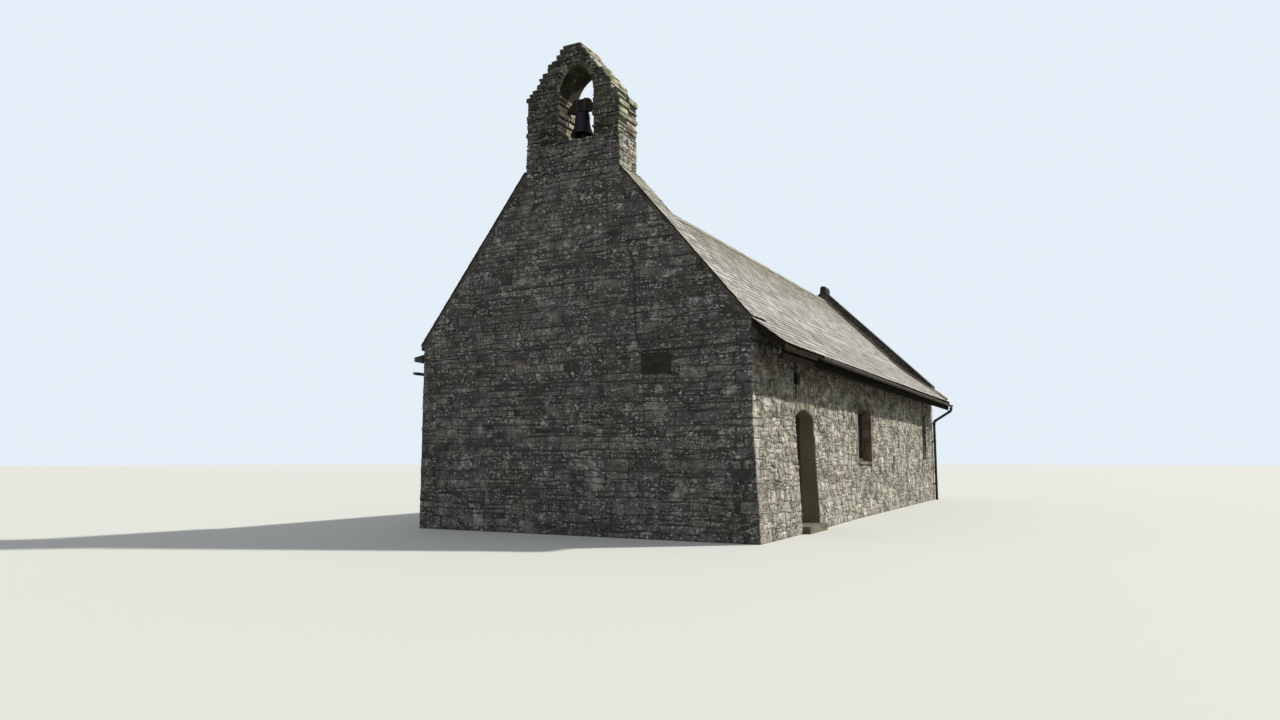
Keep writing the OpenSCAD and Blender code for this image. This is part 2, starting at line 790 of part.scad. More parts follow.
module ridge_tiles() {
    w = ridge_tile_w;
    color("#5f5a52") along_y(west_in + seat, east_in - seat) polygon([
        [-w, north_top(w) + seat], [0, ridge_h + seat], [w, south_top(w) + seat],
        [w, south_top(w) + ridge_tile_v], [0, ridge_h + ridge_tile_v + 10],
        [-w, north_top(w) + ridge_tile_v]]);
}

// Roof timbers
bay = (east_in - west_in) / (truss_count + 1);
purlin_drop = roof_v + seat;
rafter_drop = roof_v + 2 * seat + purlin_v;

module each_truss() {
    for (i = [1 : truss_count])
        along_y(west_in + i * bay - truss_w / 2, west_in + i * bay + truss_w / 2) children();
}

module principal_half() {
    foot_z = wall_h + plate_h + seat;
    x_top = (ridge_h - rafter_drop - foot_z) / tan(roof_pitch);
    x_low = (ridge_h - rafter_drop - rafter_v - foot_z) / tan(roof_pitch);
    notch_z = ridge_h - rafter_drop - truss_w / 2 * tan(roof_pitch) - seat;
    polygon([[seat, notch_z], [truss_w / 2, notch_z], [x_top, foot_z], [x_low, foot_z],
        [seat, ridge_h - rafter_drop - rafter_v]]);
}

module principal_rafters() {
    color("#4d3b2a") for (side = [0, 1]) mirror([side, 0, 0]) each_truss() principal_half();
}

module collars() {
    low = (collar_drop - rafter_drop - rafter_v) / tan(roof_pitch) - seat;
    high = (collar_drop - collar_v - rafter_drop - rafter_v) / tan(roof_pitch) - seat;
    z = ridge_h - collar_drop;
    color("#4d3b2a") each_truss() polygon([[-low, z], [low, z], [high, z + collar_v], [-high, z + collar_v]]);
}

module purlins() {
    color("#523f2d") along_y(west_in + seat, east_in - seat) {
        for (i = [1 : purlin_count], side = [0, 1]) mirror([side, 0]) {
            x = i * inner_x / (purlin_count + 1);
            polygon([[x, north_top(x) - purlin_drop], [x + truss_w, north_top(x + truss_w) - purlin_drop],
                [x + truss_w, north_top(x + truss_w) - purlin_drop - purlin_v],
                [x, north_top(x) - purlin_drop - purlin_v]]);
        }
        polygon([[0, ridge_h - purlin_drop], [truss_w / 2, north_top(truss_w / 2) - purlin_drop],
            [truss_w / 2, ridge_h - rafter_drop - truss_w / 2 * tan(roof_pitch)],
            [-truss_w / 2, ridge_h - rafter_drop - truss_w / 2 * tan(roof_pitch)],
            [-truss_w / 2, north_top(truss_w / 2) - purlin_drop]]);
    }
}

module wall_plates() {
    color("#4a392a") for (side = [0, 1]) mirror([side, 0, 0])
        block(half_w - filling_t - 300, half_w - filling_t - 5, west_in + seat, east_in - seat,
            wall_h + seat, wall_h + plate_h);
}

board_x = south_eaves_x - 60;

module rafter_feet() {
    step = (east_in - west_in - 300) / (foot_count - 1);
    color("#54432f") for (i = [0 : foot_count - 1]) {
        y = west_in + 150 + i * step;
        along_y(y - foot_w / 2, y + foot_w / 2) polygon([
            [half_w + seat, south_top(half_w) - roof_v - 2 * seat],
            [board_x - seat, south_top(board_x) - roof_v - seat],
            [board_x - seat, south_top(board_x) - roof_v - 80],
            [half_w + seat, south_top(half_w) - roof_v - 110]]);
    }
}

module eaves_board() {
    color("#3f3a33") block(board_x, board_x + 24, west_y, east_y,
        south_top(south_eaves_x) - roof_v - 130, south_top(board_x + 24) - roof_v - seat);
}

// Gutters, worked along +Y from the west face and tilted to fall east
gutter_x = south_eaves_x + gutter_r + gutter_clear;
gutter_z = south_top(south_eaves_x) - gutter_drop;
north_gutter_x = north_eaves_x + 5;
north_gutter_z = north_top(north_eaves_x) - roof_v - 12;
gutter_tilt = atan(gutter_fall / building_l);
union_count = 8;

module half_ring(outer, inner) {
    difference() {
        circle(outer, $fn = 48);
        circle(inner, $fn = 48);
        translate([-far, 0]) square([2 * far, far]);
    }
}

module gutter(start) {
    color("#3e4244") rotate([-gutter_tilt, 0, 0]) {
        along_y(start, building_l) half_ring(gutter_r, gutter_r - gutter_t);
        for (y = [start, building_l - 5]) along_y(y, y + 5) half_ring(gutter_r, 0.01);
        for (i = [1 : union_count - 1]) {
            y = start + i * (building_l - start) / union_count;
            along_y(y - 30, y + 30) half_ring(gutter_r + 4, gutter_r - 1);
        }
    }
}

module south_gutter() {
    translate([gutter_x, west_y, gutter_z]) gutter(gutter_from_west);
}

module north_gutter() {
    translate([-north_gutter_x, west_y, north_gutter_z]) gutter(0);
}

module bracket(reach) {
    r = gutter_r + 0.4;
    along_y(-12, 12) {
        half_ring(r + 5, r);
        translate([-reach, -r - 5]) square([reach - 10, 6]);
        translate([-reach, -r - 5]) square([6, r]);
    }
}

// Places one bracket after another under a gutter that begins at start
module along_gutter(start, z) {
    step = (building_l - start - 2 * bracket_inset) / (bracket_count - 1);
    for (i = [0 : bracket_count - 1]) {
        along = start + bracket_inset + i * step;
        translate([0, west_y + along, z - along * tan(gutter_tilt)]) children();
    }
}

module gutter_brackets() {
    color("#2f3233") {
        along_gutter(gutter_from_west, gutter_z) translate([gutter_x, 0, 0])
            bracket(gutter_x - south_eaves_x - seat);
        along_gutter(0, north_gutter_z) translate([-north_gutter_x, 0, 0])
            mirror([1, 0, 0]) bracket(north_gutter_x - half_w - seat);
    }
}

// Downpipe with a swan neck that brings it back to the wall
pipe_x = half_w + pipe_r + 30;
pipe_y = east_y - pipe_from_east;
pipe_top = gutter_z - (building_l - pipe_from_east) * tan(gutter_tilt) - gutter_r - 6;
neck_l = (gutter_x - pipe_x - 2 * bend_r * (1 - cos(neck_angle))) / sin(neck_angle);
outlet_l = 60;
lap = 9;

module bend(from_angle) {
    rotate([90, 0, 0]) rotate([0, 0, from_angle]) rotate_extrude(angle = neck_angle, $fn = 96)
        translate([bend_r, 0]) circle(pipe_r, $fn = 48);
}

module downpipe() {
    z1 = pipe_top - outlet_l;
    x2 = gutter_x - bend_r * (1 - cos(neck_angle));
    z2 = z1 - bend_r * sin(neck_angle);
    x3 = x2 - neck_l * sin(neck_angle);
    z3 = z2 - neck_l * cos(neck_angle);
    z4 = z3 - bend_r * sin(neck_angle);
    color("#2e3032") translate([0, pipe_y, 0]) {
        translate([gutter_x, 0, z1]) cylinder(r = pipe_r, h = outlet_l, $fn = 48);
        translate([gutter_x, 0, z1 - lap]) cylinder(r = pipe_r + 6, h = 5 * lap, $fn = 48);
        translate([gutter_x - bend_r, 0, z1]) bend(-neck_angle);
        translate([x3, 0, z3]) rotate([0, neck_angle, 0]) {
            cylinder(r = pipe_r, h = neck_l, $fn = 48);
            translate([0, 0, -lap]) cylinder(r = pipe_r + 6, h = 5 * lap, $fn = 48);
            translate([0, 0, neck_l - 4 * lap]) cylinder(r = pipe_r + 6, h = 5 * lap, $fn = 48);
        }
        translate([pipe_x + bend_r, 0, z4]) bend(180 - neck_angle);
        translate([pipe_x, 0, 0]) cylinder(r = pipe_r, h = z4, $fn = 48);
        translate([pipe_x, 0, z4 - 5 * lap]) cylinder(r = pipe_r + 7, h = 6 * lap, $fn = 48);
        for (z = [z4 * 0.2, z4 * 0.75]) {
            translate([pipe_x, 0, z]) cylinder(r = pipe_r + 5, h = 40, $fn = 48);
            block(half_w + seat, pipe_x - pipe_r + 6, -60, 60, z, z + 40);
        }
    }
}

// Windows
module frame_outline(w, h) {
    difference() {
        square([w, h]);
        translate([bar_w, bar_w]) square([w - 2 * bar_w, h - 2 * bar_w]);
    }
}

// A window in the wall that faces +X; lights is the number of panes side by side
module window_frame(y, w, z0, z1, lights) {
    x = half_w - window_depth;
    translate([0, y + seat, z0 + seat]) along_x(x - window_frame_d, x)
        frame_outline(w - 2 * seat, z1 - z0 - 2 * seat);
    if (lights > 1) for (i = [1 : lights - 1])
        block(x - window_frame_d / 2, x, y + (i * w - lights * bar_w / 2) / lights,
            y + (i * w + lights * bar_w / 2) / lights, z0 + bar_w, z1 - bar_w);
}

module window_pane(y, w, z0, z1) {
    x = half_w - window_depth - window_frame_d / 2 - seat;
    m = bar_w + 2 * seat;
    block(x - glass_t, x, y + m, y + w - m, z0 + m, z1 - m);
}

// Turns what is made for the +X wall to face east
module facing_east() {
    translate([0, east_y - half_w, 0]) rotate([0, 0, 90]) children();
}

module window_frames() {
    color("#5a5348") {
        for (side = [0, 1]) mirror([side, 0, 0]) {
            window_frame(nave_y0, nave_window_w, nave_sill_z, nave_head_z, 2);
            window_frame(chancel_y0, chancel_window_w, chancel_sill_z, chancel_head_z, 1);
        }
        facing_east() window_frame(-east_window_w / 2, east_window_w, east_sill_z, east_head_z, 3);
    }
}

module window_glass() {
    color("#8fa3a8", 0.4) {
        for (side = [0, 1], s = side_windows) mirror([side, 0, 0]) window_pane(s[0], s[1], s[2], s[3]);
        facing_east() window_pane(-east_window_w / 2, east_window_w, east_sill_z, east_head_z);
    }
}

// A sill stone with a sloping top in front of the frame
module sill_stone(y, w, z, depth) {
    back = half_w - window_depth;
    along_y(y, y + w) polygon([[half_w - depth, z - sill_h], [half_w + sill_lip, z - sill_h],
        [half_w + sill_lip, z - 45], [back, z], [half_w - depth, z]]);
}

module window_sills() {
    color("#8a877d") {
        for (side = [0, 1], s = side_windows) mirror([side, 0, 0]) sill_stone(s[0], s[1], s[2], side_wall_t);
        facing_east() sill_stone(-east_window_w / 2, east_window_w, east_sill_z, east_wall_t);
    }
}

module lintel_stone(y, w, z) {
    block(half_w - lintel_d, half_w, y - lintel_bearing, y + w + lintel_bearing, z, z + lintel_h);
}

module window_lintels() {
    color("#86837a") {
        for (side = [0, 1], s = side_windows) mirror([side, 0, 0]) lintel_stone(s[0], s[1], s[3]);
        facing_east() lintel_stone(-east_window_w / 2, east_window_w, east_head_z);
    }
}

module brick_jambs() {
    color("#8a4f3c") for (side = [0, 1], y = [nave_y0 - brick_w, nave_y1]) mirror([side, 0, 0])
        block(half_w - lintel_d, half_w, y, y + brick_w, nave_sill_z - sill_h, nave_head_z);
}

// Things fixed to the walls
module plaque() {
    color("#2c2e33") block(plaque_x, plaque_x + plaque_w, west_y - plaque_t, west_y - seat,
        plaque_z, plaque_z + plaque_h);
}

function unit(v) = v / norm(v);
function headings(p) = [for (i = [0 : len(p) - 1])
    unit((i < len(p) - 1 ? unit(p[i + 1] - p[i]) : [0, 0, 0]) + (i > 0 ? unit(p[i] - p[i - 1]) : [0, 0, 0]))];
function carried(t, n, i = 0) = i == len(t) ? [] :
    let (m = unit(n - (n * t[i]) * t[i])) concat([m], carried(t, m, i + 1));
function eased(p, d) = [for (i = [0 : len(p) - 1]) each
    i == 0 || i == len(p) - 1 ? [p[i]] :
    [p[i] + d * unit(p[i - 1] - p[i]), p[i] + d * unit(p[i + 1] - p[i])]];

// A tube swept along points that turn a little at each one
module tube(points, r, start_normal, sides = 8) {
    t = headings(points);
    n = carried(t, start_normal);
    rings = [for (i = [0 : len(points) - 1], k = [0 : sides - 1])
        points[i] + r * (cos(k * 360 / sides) * n[i] + sin(k * 360 / sides) * cross(t[i], n[i]))];
    last = (len(points) - 1) * sides;
    polyhedron(rings, concat(
        [[for (k = [0 : sides - 1]) k]],
        [for (i = [0 : len(points) - 2], k = [0 : sides - 1])
            let (a = i * sides + k, b = i * sides + (k + 1) % sides) [b, a, a + sides, b + sides]],
        [[for (k = [0 : sides - 1]) last + sides - 1 - k]]));
}

box_y = door_y0 + 20;
box_z = door_spring_z + door_rise + 410;

module cable() {
    y = west_y - cable_r - seat;
    x = half_w + cable_r + seat;
    verge_x = under_x(south_slope, capping_t, cable_top_z + 40);
    drop_x = plaque_x - cable_side;
    color("#262524") {
        tube(eased([[verge_x, y, cable_top_z], [drop_x - 190, y, cable_top_z + 10],
            [drop_x - 40, y, cable_top_z - 390], [drop_x, y, plaque_z + plaque_h + 300],
            [plaque_x, y, plaque_z + plaque_h + 40],
            [x, y, wall_h - 45], [x, west_y + 1000, wall_h - 35], [x, box_y - 170, wall_h - 85],
            [x, box_y, wall_h - 195], [x, box_y, box_z + box_h + seat]], 4), cable_r, [0, 1, 0]);
        tube([[x, box_y, box_z - seat], [x, box_y, door_spring_z + voussoir_l]], cable_r, [1, 0, 0]);
    }
}

module insulators() {
    r = insulator_r;
    color("#e6e4dc") for (i = [0, 1])
        translate([half_w + 2 * r, west_y + insulator_y + i * insulator_gap, wall_h - insulator_drop]) {
        rotate_extrude($fn = 48) polygon([[0, 0], [0.62 * r, 0], [0.62 * r, 0.25 * insulator_h],
            [r, 0.3 * insulator_h], [0.7 * r, 0.55 * insulator_h], [r, 0.62 * insulator_h],
            [0.8 * r, 0.9 * insulator_h], [0.4 * r, insulator_h], [0, insulator_h]]);
        rotate([0, -90, 0]) translate([12, 0, 0]) cylinder(r = 8, h = 2 * r - seat, $fn = 24);
    }
}

module junction_box() {
    color("#2b2b2b") block(half_w + seat, half_w + box_d, box_y - box_w / 2, box_y + box_w / 2,
        box_z, box_z + box_h);
}

// Bell and what carries it
waist_steps = 14;
shoulder_h = 45;
function waist_r(t) = bell_r * (0.63 + 0.37 * pow(1 - t, 2.7));
function metal(t) = bell_wall * (1 + 0.7 * exp(-30 * pow(t - 0.08, 2)));
function waist_z(t) = t * (bell_h - shoulder_h);
function band(t) = t == 2 / waist_steps || t == 12 / waist_steps ? 4 : 0;

module bell_shell() {
    inner_crown = bell_h - 1.8 * bell_wall;
    rotate_extrude($fn = 96) polygon(concat(
        [[bell_r - bell_wall, 0]],
        [for (i = [0 : waist_steps]) each let (t = i / waist_steps)
            [[waist_r(t) + band(t), waist_z(t)], [waist_r(t) + band(t), waist_z(t) + 6]]],
        [for (a = [15 : 25 : 90]) [waist_r(1) - 35 * (1 - cos(a)) - (a > 80 ? 60 : 0),
            waist_z(1) + 6 + (shoulder_h - 6) * sin(a)]],
        [[0, bell_h], [0, inner_crown], [0.2 * bell_r, inner_crown]],
        [for (i = [waist_steps : -1 : 1]) let (t = i / waist_steps)
            [waist_r(t) - metal(t) - (i == waist_steps ? 20 : 0),
                waist_z(t) + (i == waist_steps ? 12 : 0)]]));
}

module bell() {
    color("#3a3d36") translate([bell_x, bell_y, bell_mouth_z]) {
        bell_shell();
        translate([0, 0, bell_h - 6]) cylinder(r = 42, h = crown_block_h + 6 - seat, $fn = 48);
    }
}

// Headstock, low at its ends and raised over the bell
module headstock() {
    x0 = opening_x0 + headstock_clear;
    x1 = opening_x1 - headstock_clear;
    rise = headstock_h - headstock_end_h;
    color("#3b3027") translate([0, 0, headstock_z])
        along_y(bell_y - headstock_w / 2, bell_y + headstock_w / 2) difference() {
            polygon([[x0, 0], [x1, 0], [x1, headstock_end_h], [bell_x + 150 + rise, headstock_end_h],
                [bell_x + 150, headstock_h], [bell_x - 150, headstock_h],
                [bell_x - 150 - rise / 2, headstock_end_h], [x0, headstock_end_h]]);
            translate([bell_x + 150 + rise, headstock_h]) circle(rise, $fn = 64);
        }
}

module strap(x) {
    y = headstock_w / 2;
    low = headstock_z - seat;
    high = headstock_z + headstock_h + seat;
    difference() {
        block(x - strap_w / 2, x + strap_w / 2, bell_y - y - strap_t, bell_y + y + strap_t,
            low - strap_t, high + strap_t);
        block(x - strap_w, x + strap_w, bell_y - y - seat, bell_y + y + seat, low, high);
    }
    for (side = [-1, 1]) translate([x, bell_y + side * y / 2, high + strap_t - 1])
        cylinder(r = 11, h = 15, $fn = 6);
}

module bell_ironwork() {
    color("#2a2622") {
        for (x = [bell_x - 80, bell_x + 80]) strap(x);
        for (x = [opening_x0 + 5, opening_x1 - headstock_clear + seat])
            translate([x, bell_y, swing_z]) rotate([0, 90, 0])
                cylinder(r = gudgeon_r, h = headstock_clear - 5 - seat, $fn = 32);
    }
}

module clapper() {
    color("#2a2622") translate([bell_x, bell_y, bell_mouth_z]) rotate_extrude($fn = 48) polygon(concat(
        [[0, -36]], [for (a = [-60 : 20 : 60]) [30 * cos(a), 4 + 32 * sin(a)]],
        [[9, 40], [8, bell_h - 1.8 * bell_wall - seat], [0, bell_h - 1.8 * bell_wall - seat]]));
}

module bell_bearings() {
    color("#2f2b27") for (x = [opening_x0 + seat, opening_x1 - 30]) difference() {
        union() {
            block(x, x + 30 - seat, bell_y - 45, bell_y + 45, swing_z - 45, swing_z + 8);
            translate([x, bell_y, swing_z]) rotate([0, 90, 0]) cylinder(r = 34, h = 30 - seat, $fn = 48);
        }
        translate([x - 1, bell_y, swing_z]) rotate([0, 90, 0])
            cylinder(r = gudgeon_r + pin_clear, h = 40, $fn = 32);
    }
}

module floor_slab() {
    color("#7f7c74") block(-inner_x + seat, inner_x - seat, west_in + seat, east_in - seat, 0, floor_t);
}

west_gable();
bellcote_base();
bellcote_north_pier();
bellcote_south_pier();
bellcote_arch();
bellcote_gablet();
west_coping_south();
west_coping_north();
west_kneelers();
south_wall_west();
south_wall_over_door();
south_wall_nave();
south_wall_chancel();
door_arch();
threshold();
door_frame();
door_leaf();
door_ironwork();
door_pintles();
north_wall();
east_gable();
east_copings();
east_kneelers();
apex_stone();
south_roof();
north_roof();
ridge_tiles();
principal_rafters();
collars();
purlins();
wall_plates();
rafter_feet();
eaves_board();
south_gutter();
north_gutter();
gutter_brackets();
downpipe();
window_frames();
window_glass();
window_sills();
window_lintels();
brick_jambs();
plaque();
cable();
insulators();
junction_box();
bell();
headstock();
bell_ironwork();
clapper();
bell_bearings();
floor_slab();
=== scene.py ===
"""Looks of the small stone chapel: rubble walls, slates, bellcote, door, light and camera."""

import math

import bmesh
import bpy
import numpy as np
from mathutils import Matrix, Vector


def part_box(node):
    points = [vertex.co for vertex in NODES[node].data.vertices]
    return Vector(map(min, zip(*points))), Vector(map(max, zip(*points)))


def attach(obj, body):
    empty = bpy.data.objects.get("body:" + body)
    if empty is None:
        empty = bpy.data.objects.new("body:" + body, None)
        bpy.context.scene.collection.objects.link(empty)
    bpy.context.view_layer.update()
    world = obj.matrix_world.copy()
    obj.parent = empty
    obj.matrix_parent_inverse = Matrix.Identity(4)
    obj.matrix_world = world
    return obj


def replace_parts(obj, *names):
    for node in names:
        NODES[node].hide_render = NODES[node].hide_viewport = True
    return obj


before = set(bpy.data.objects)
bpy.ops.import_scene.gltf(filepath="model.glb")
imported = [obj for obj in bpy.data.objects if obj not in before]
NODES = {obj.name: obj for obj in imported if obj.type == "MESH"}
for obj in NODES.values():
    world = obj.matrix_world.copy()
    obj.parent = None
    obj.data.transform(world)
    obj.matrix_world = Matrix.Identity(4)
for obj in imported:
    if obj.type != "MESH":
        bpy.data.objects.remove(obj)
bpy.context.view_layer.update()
HOME = "building"

# Places read from the frame, in metres
GABLE_LOW, GABLE_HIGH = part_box("west_gable")
WEST_Y = GABLE_LOW.y
WEST_IN = GABLE_HIGH.y
EAST_LOW, EAST_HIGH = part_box("east_gable")
EAST_Y = EAST_HIGH.y
EAST_IN = EAST_LOW.y
HALF_W = -GABLE_LOW.x
LEAN = GABLE_HIGH.x - HALF_W
DOOR_Y0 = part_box("south_wall_west")[1].y
DOOR_Y1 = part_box("south_wall_nave")[0].y
SEAT_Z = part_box("bellcote_base")[0].z
SILL_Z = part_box("bellcote_base")[1].z
RIDGE_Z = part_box("south_roof")[1].z

# Building values that the boxes don't give
LEAN_TOP_Z = 1.9
LEAN_RUN = 3.0
SOUTH_GABLE_PITCH = math.radians(50)
NORTH_GABLE_PITCH = math.radians(52.3)
ROOF_PITCH = math.radians(45)
EAVES_PITCH = math.radians(37.7)
EAVES_TURN_X = 2.35
CAPPING_T = 0.05
MORTAR_DEPTH = 0.008
GABLE_MORTAR_DEPTH = 0.004
SLATE_T = 0.006
SLATE_LIFT = SLATE_T * 2.3
DEEP_MORTAR = 0.016


def rng_for(name):
    """A random source of its own for each piece, the same on every run."""
    return np.random.default_rng(sum(ord(c) * (i + 7) for i, c in enumerate(name)))


# Camera
CAMERA_PLACE = (7.74, -20.04, 1.26)
CAMERA_YAW = math.radians(27.86)
CAMERA_PITCH = math.radians(6.44)
CAMERA_LENS = 24.38


def add_camera():
    data = bpy.data.cameras.new("camera")
    data.lens = CAMERA_LENS
    data.sensor_width = 36
    data.clip_end = 500
    camera = bpy.data.objects.new("camera", data)
    camera.location = CAMERA_PLACE
    camera.rotation_euler = (math.pi / 2 + CAMERA_PITCH, 0, CAMERA_YAW)
    bpy.context.scene.collection.objects.link(camera)
    bpy.context.scene.camera = camera


# Light and floor
SUN_STRENGTH = 3.8
SKY_STRENGTH = 0.43
SUN_TOWARDS = (0.74, 0.62, 0.78)
SUN_COLOUR = (1.0, 0.965, 0.9)
SUN_SPREAD = math.radians(2.5)
SKY_LIGHT = (0.92, 0.96, 1.0)
SKY_SHOWN = (0.78, 0.86, 0.94)
FLOOR_RADIUS = 160
FLOOR_LIGHT = (0.20, 0.20, 0.175)
FLOOR_SHOWN = (0.68, 0.69, 0.65)


def seen_directly(tree):
    """1 for rays from the camera, reflections and glass, and 0 for the light that is thrown on."""
    rays = tree.nodes.new("ShaderNodeLightPath").outputs
    seen = rays["Is Camera Ray"]
    for kind in ("Is Glossy Ray", "Is Transmission Ray"):
        either = tree.nodes.new("ShaderNodeMath")
        either.operation = "MAXIMUM"
        tree.links.new(seen, either.inputs[0])
        tree.links.new(rays[kind], either.inputs[1])
        seen = either.outputs[0]
    return seen


def add_light():
    sun = bpy.data.lights.new("sun", "SUN")
    sun.energy = SUN_STRENGTH
    sun.angle = SUN_SPREAD
    sun.color = SUN_COLOUR
    lamp = bpy.data.objects.new("sun", sun)
    lamp.rotation_euler = Vector(SUN_TOWARDS).to_track_quat("Z", "Y").to_euler()
    bpy.context.scene.collection.objects.link(lamp)

    world = bpy.data.worlds.new("sky")
    bpy.context.scene.world = world
    world.use_nodes = True
    tree = world.node_tree
    tree.nodes.clear()
    add, link = tree.nodes.new, tree.links.new
    mix = add("ShaderNodeMixShader")
    link(seen_directly(tree), mix.inputs[0])
    for place, colour, strength in ((1, SKY_LIGHT, SKY_STRENGTH), (2, SKY_SHOWN, 1.0)):
        sky = add("ShaderNodeBackground")
        sky.inputs["Color"].default_value = (*colour, 1)
        sky.inputs["Strength"].default_value = strength
        link(sky.outputs[0], mix.inputs[place])
    link(mix.outputs[0], add("ShaderNodeOutputWorld").inputs["Surface"])
    bpy.context.scene.view_settings.view_transform = "Standard"


def add_floor():
    bpy.ops.mesh.primitive_circle_add(vertices=96, radius=FLOOR_RADIUS, fill_type="NGON")
    floor = bpy.context.object
    floor.name = "floor_stage"
    floor.data.materials.append(floor_paint())


def floor_paint():
    """A pale floor to the camera, which throws little light back on the walls."""
    s = Shader("floor_pale", 0.95)
    return s.finish(s.mix(seen_directly(s.tree), FLOOR_LIGHT, FLOOR_SHOWN))


# Materials
def srgb(text):
    """Linear colour of a six-digit hex code."""
    parts = [int(text[i:i + 2], 16) / 255 for i in (0, 2, 4)]
    return tuple(c / 12.92 if c <= 0.04045 else ((c + 0.055) / 1.055) ** 2.4 for c in parts)


def palette(*codes):
    """Linear colours of several hex codes."""
    return [srgb(code) for code in codes]


class Shader:
    """Short ways to add and join shader nodes."""

    def __init__(self, name, roughness=0.9):
        self.material = bpy.data.materials.new(name)
        self.material.use_nodes = True
        self.tree = self.material.node_tree
        self.skin = self.tree.nodes["Principled BSDF"]
        self.skin.inputs["Roughness"].default_value = roughness
        self.skin.inputs["Specular IOR Level"].default_value = 0.25
        self.place = self.add("ShaderNodeTexCoord").outputs["Object"]

    def add(self, kind, inputs=(), **values):
        """A new node, with values for its own settings and values or sockets for its inputs."""
        node = self.tree.nodes.new(kind)
        for key, value in values.items():
            setattr(node, key, value)
        for key, value in dict(inputs).items():
            self.put(value, node.inputs[key])
        return node

    def put(self, value, socket):
        if isinstance(value, bpy.types.NodeSocket):
            self.tree.links.new(value, socket)
        elif hasattr(socket.default_value, "__len__") and len(socket.default_value) == 4 and len(value) == 3:
            socket.default_value = (*value, 1)
        else:
            socket.default_value = value

    def stretched(self, x, y, z, place=None):
        node = self.add("ShaderNodeMapping", {"Vector": place or self.place, "Scale": (x, y, z)})
        return node.outputs[0]

    def noise(self, scale, detail=4, roughness=0.55, distortion=0.0, place=None):
        node = self.add("ShaderNodeTexNoise", {
            "Vector": place or self.place, "Scale": scale, "Detail": detail, "Roughness": roughness,
            "Distortion": distortion})
        return node.outputs["Fac"]

    def warped(self, scale, reach):
        """The place on the object, pushed about a little, so that round patterns fray."""
        node = self.add("ShaderNodeTexNoise", {"Vector": self.place, "Scale": scale, "Detail": 4})
        push = {0: node.outputs["Color"], 1: (2 * reach,) * 3, 2: self.place}
        return self.add("ShaderNodeVectorMath", push, operation="MULTIPLY_ADD").outputs[0]

    def cells(self, scale, place=None):
        node = self.add("ShaderNodeTexVoronoi", {"Vector": place or self.place, "Scale": scale})
        return node.outputs["Distance"], node.outputs["Color"]

    def attribute(self, name):
        return self.add("ShaderNodeAttribute", attribute_name=name).outputs["Fac"]

    def math(self, operation, a, b=0.0, clamp=False):
        return self.add("ShaderNodeMath", {0: a, 1: b}, operation=operation, use_clamp=clamp).outputs[0]

    def times(self, a, b):
        return self.math("MULTIPLY", a, b)

    def plus(self, a, b, clamp=False):
        return self.math("ADD", a, b, clamp)

    def centred(self, pattern, gain):
        """A pattern that swings about zero, made stronger by gain."""
        return self.times(self.math("SUBTRACT", pattern, 0.5), gain)

    def shaded(self, share, colour, pattern, low, high):
        """A colour made darker and lighter by a pattern."""
        return self.mix(share, colour, self.ramp(pattern, low, high), "MULTIPLY")

    def bricks(self, place, tones, sizes):
        """Bricks or flags with the given tones and sizes, as a texture node."""
        tones = dict(zip(("Color1", "Color2", "Mortar"), palette(*tones)))
        return self.add("ShaderNodeTexBrick", {"Vector": place, "Scale": 1.0, **sizes, **tones})

    def ramp(self, factor, *stops):
        node = self.add("ShaderNodeValToRGB")
        ramp = node.color_ramp
        while len(ramp.elements) < len(stops):
            ramp.elements.new(0.5)
        for element, (at, colour) in zip(ramp.elements, stops):
            element.position = at
            element.color = (*colour, 1) if hasattr(colour, "__len__") else (colour, colour, colour, 1)
        self.put(factor, node.inputs[0])
        return node.outputs[0]

    def mix(self, factor, a, b, blend="MIX"):
        sides = {"Factor": factor, 6: a, 7: b}
        return self.add("ShaderNodeMix", sides, data_type="RGBA", blend_type=blend).outputs[2]

    def step(self, value, low, high):
        limits = {"Value": value, "From Min": low, "From Max": high}
        node = self.add("ShaderNodeMapRange", limits, interpolation_type="SMOOTHSTEP")
        return node.outputs["Result"]

    def channel(self, colour, name="Red"):
        return self.add("ShaderNodeSeparateColor", {0: colour}).outputs[name]

    def height(self):
        return self.add("ShaderNodeSeparateXYZ", {0: self.place}).outputs["Z"]

    def facing(self, axis):
        """How far the surface faces along one axis, from -1 to 1."""
        normal = self.add("ShaderNodeNewGeometry").outputs["True Normal"]
        return self.add("ShaderNodeSeparateXYZ", {0: normal}).outputs[axis]

    def finish(self, colour, bump=None, distance=0.004, strength=0.6, roughness=None):
        self.put(colour, self.skin.inputs["Base Color"])
        if roughness is not None:
            self.put(roughness, self.skin.inputs["Roughness"])
        if bump is not None:
            node = self.add("ShaderNodeBump", {"Distance": distance, "Strength": strength, "Height": bump})
            self.put(node.outputs[0], self.skin.inputs["Normal"])
        return self.material


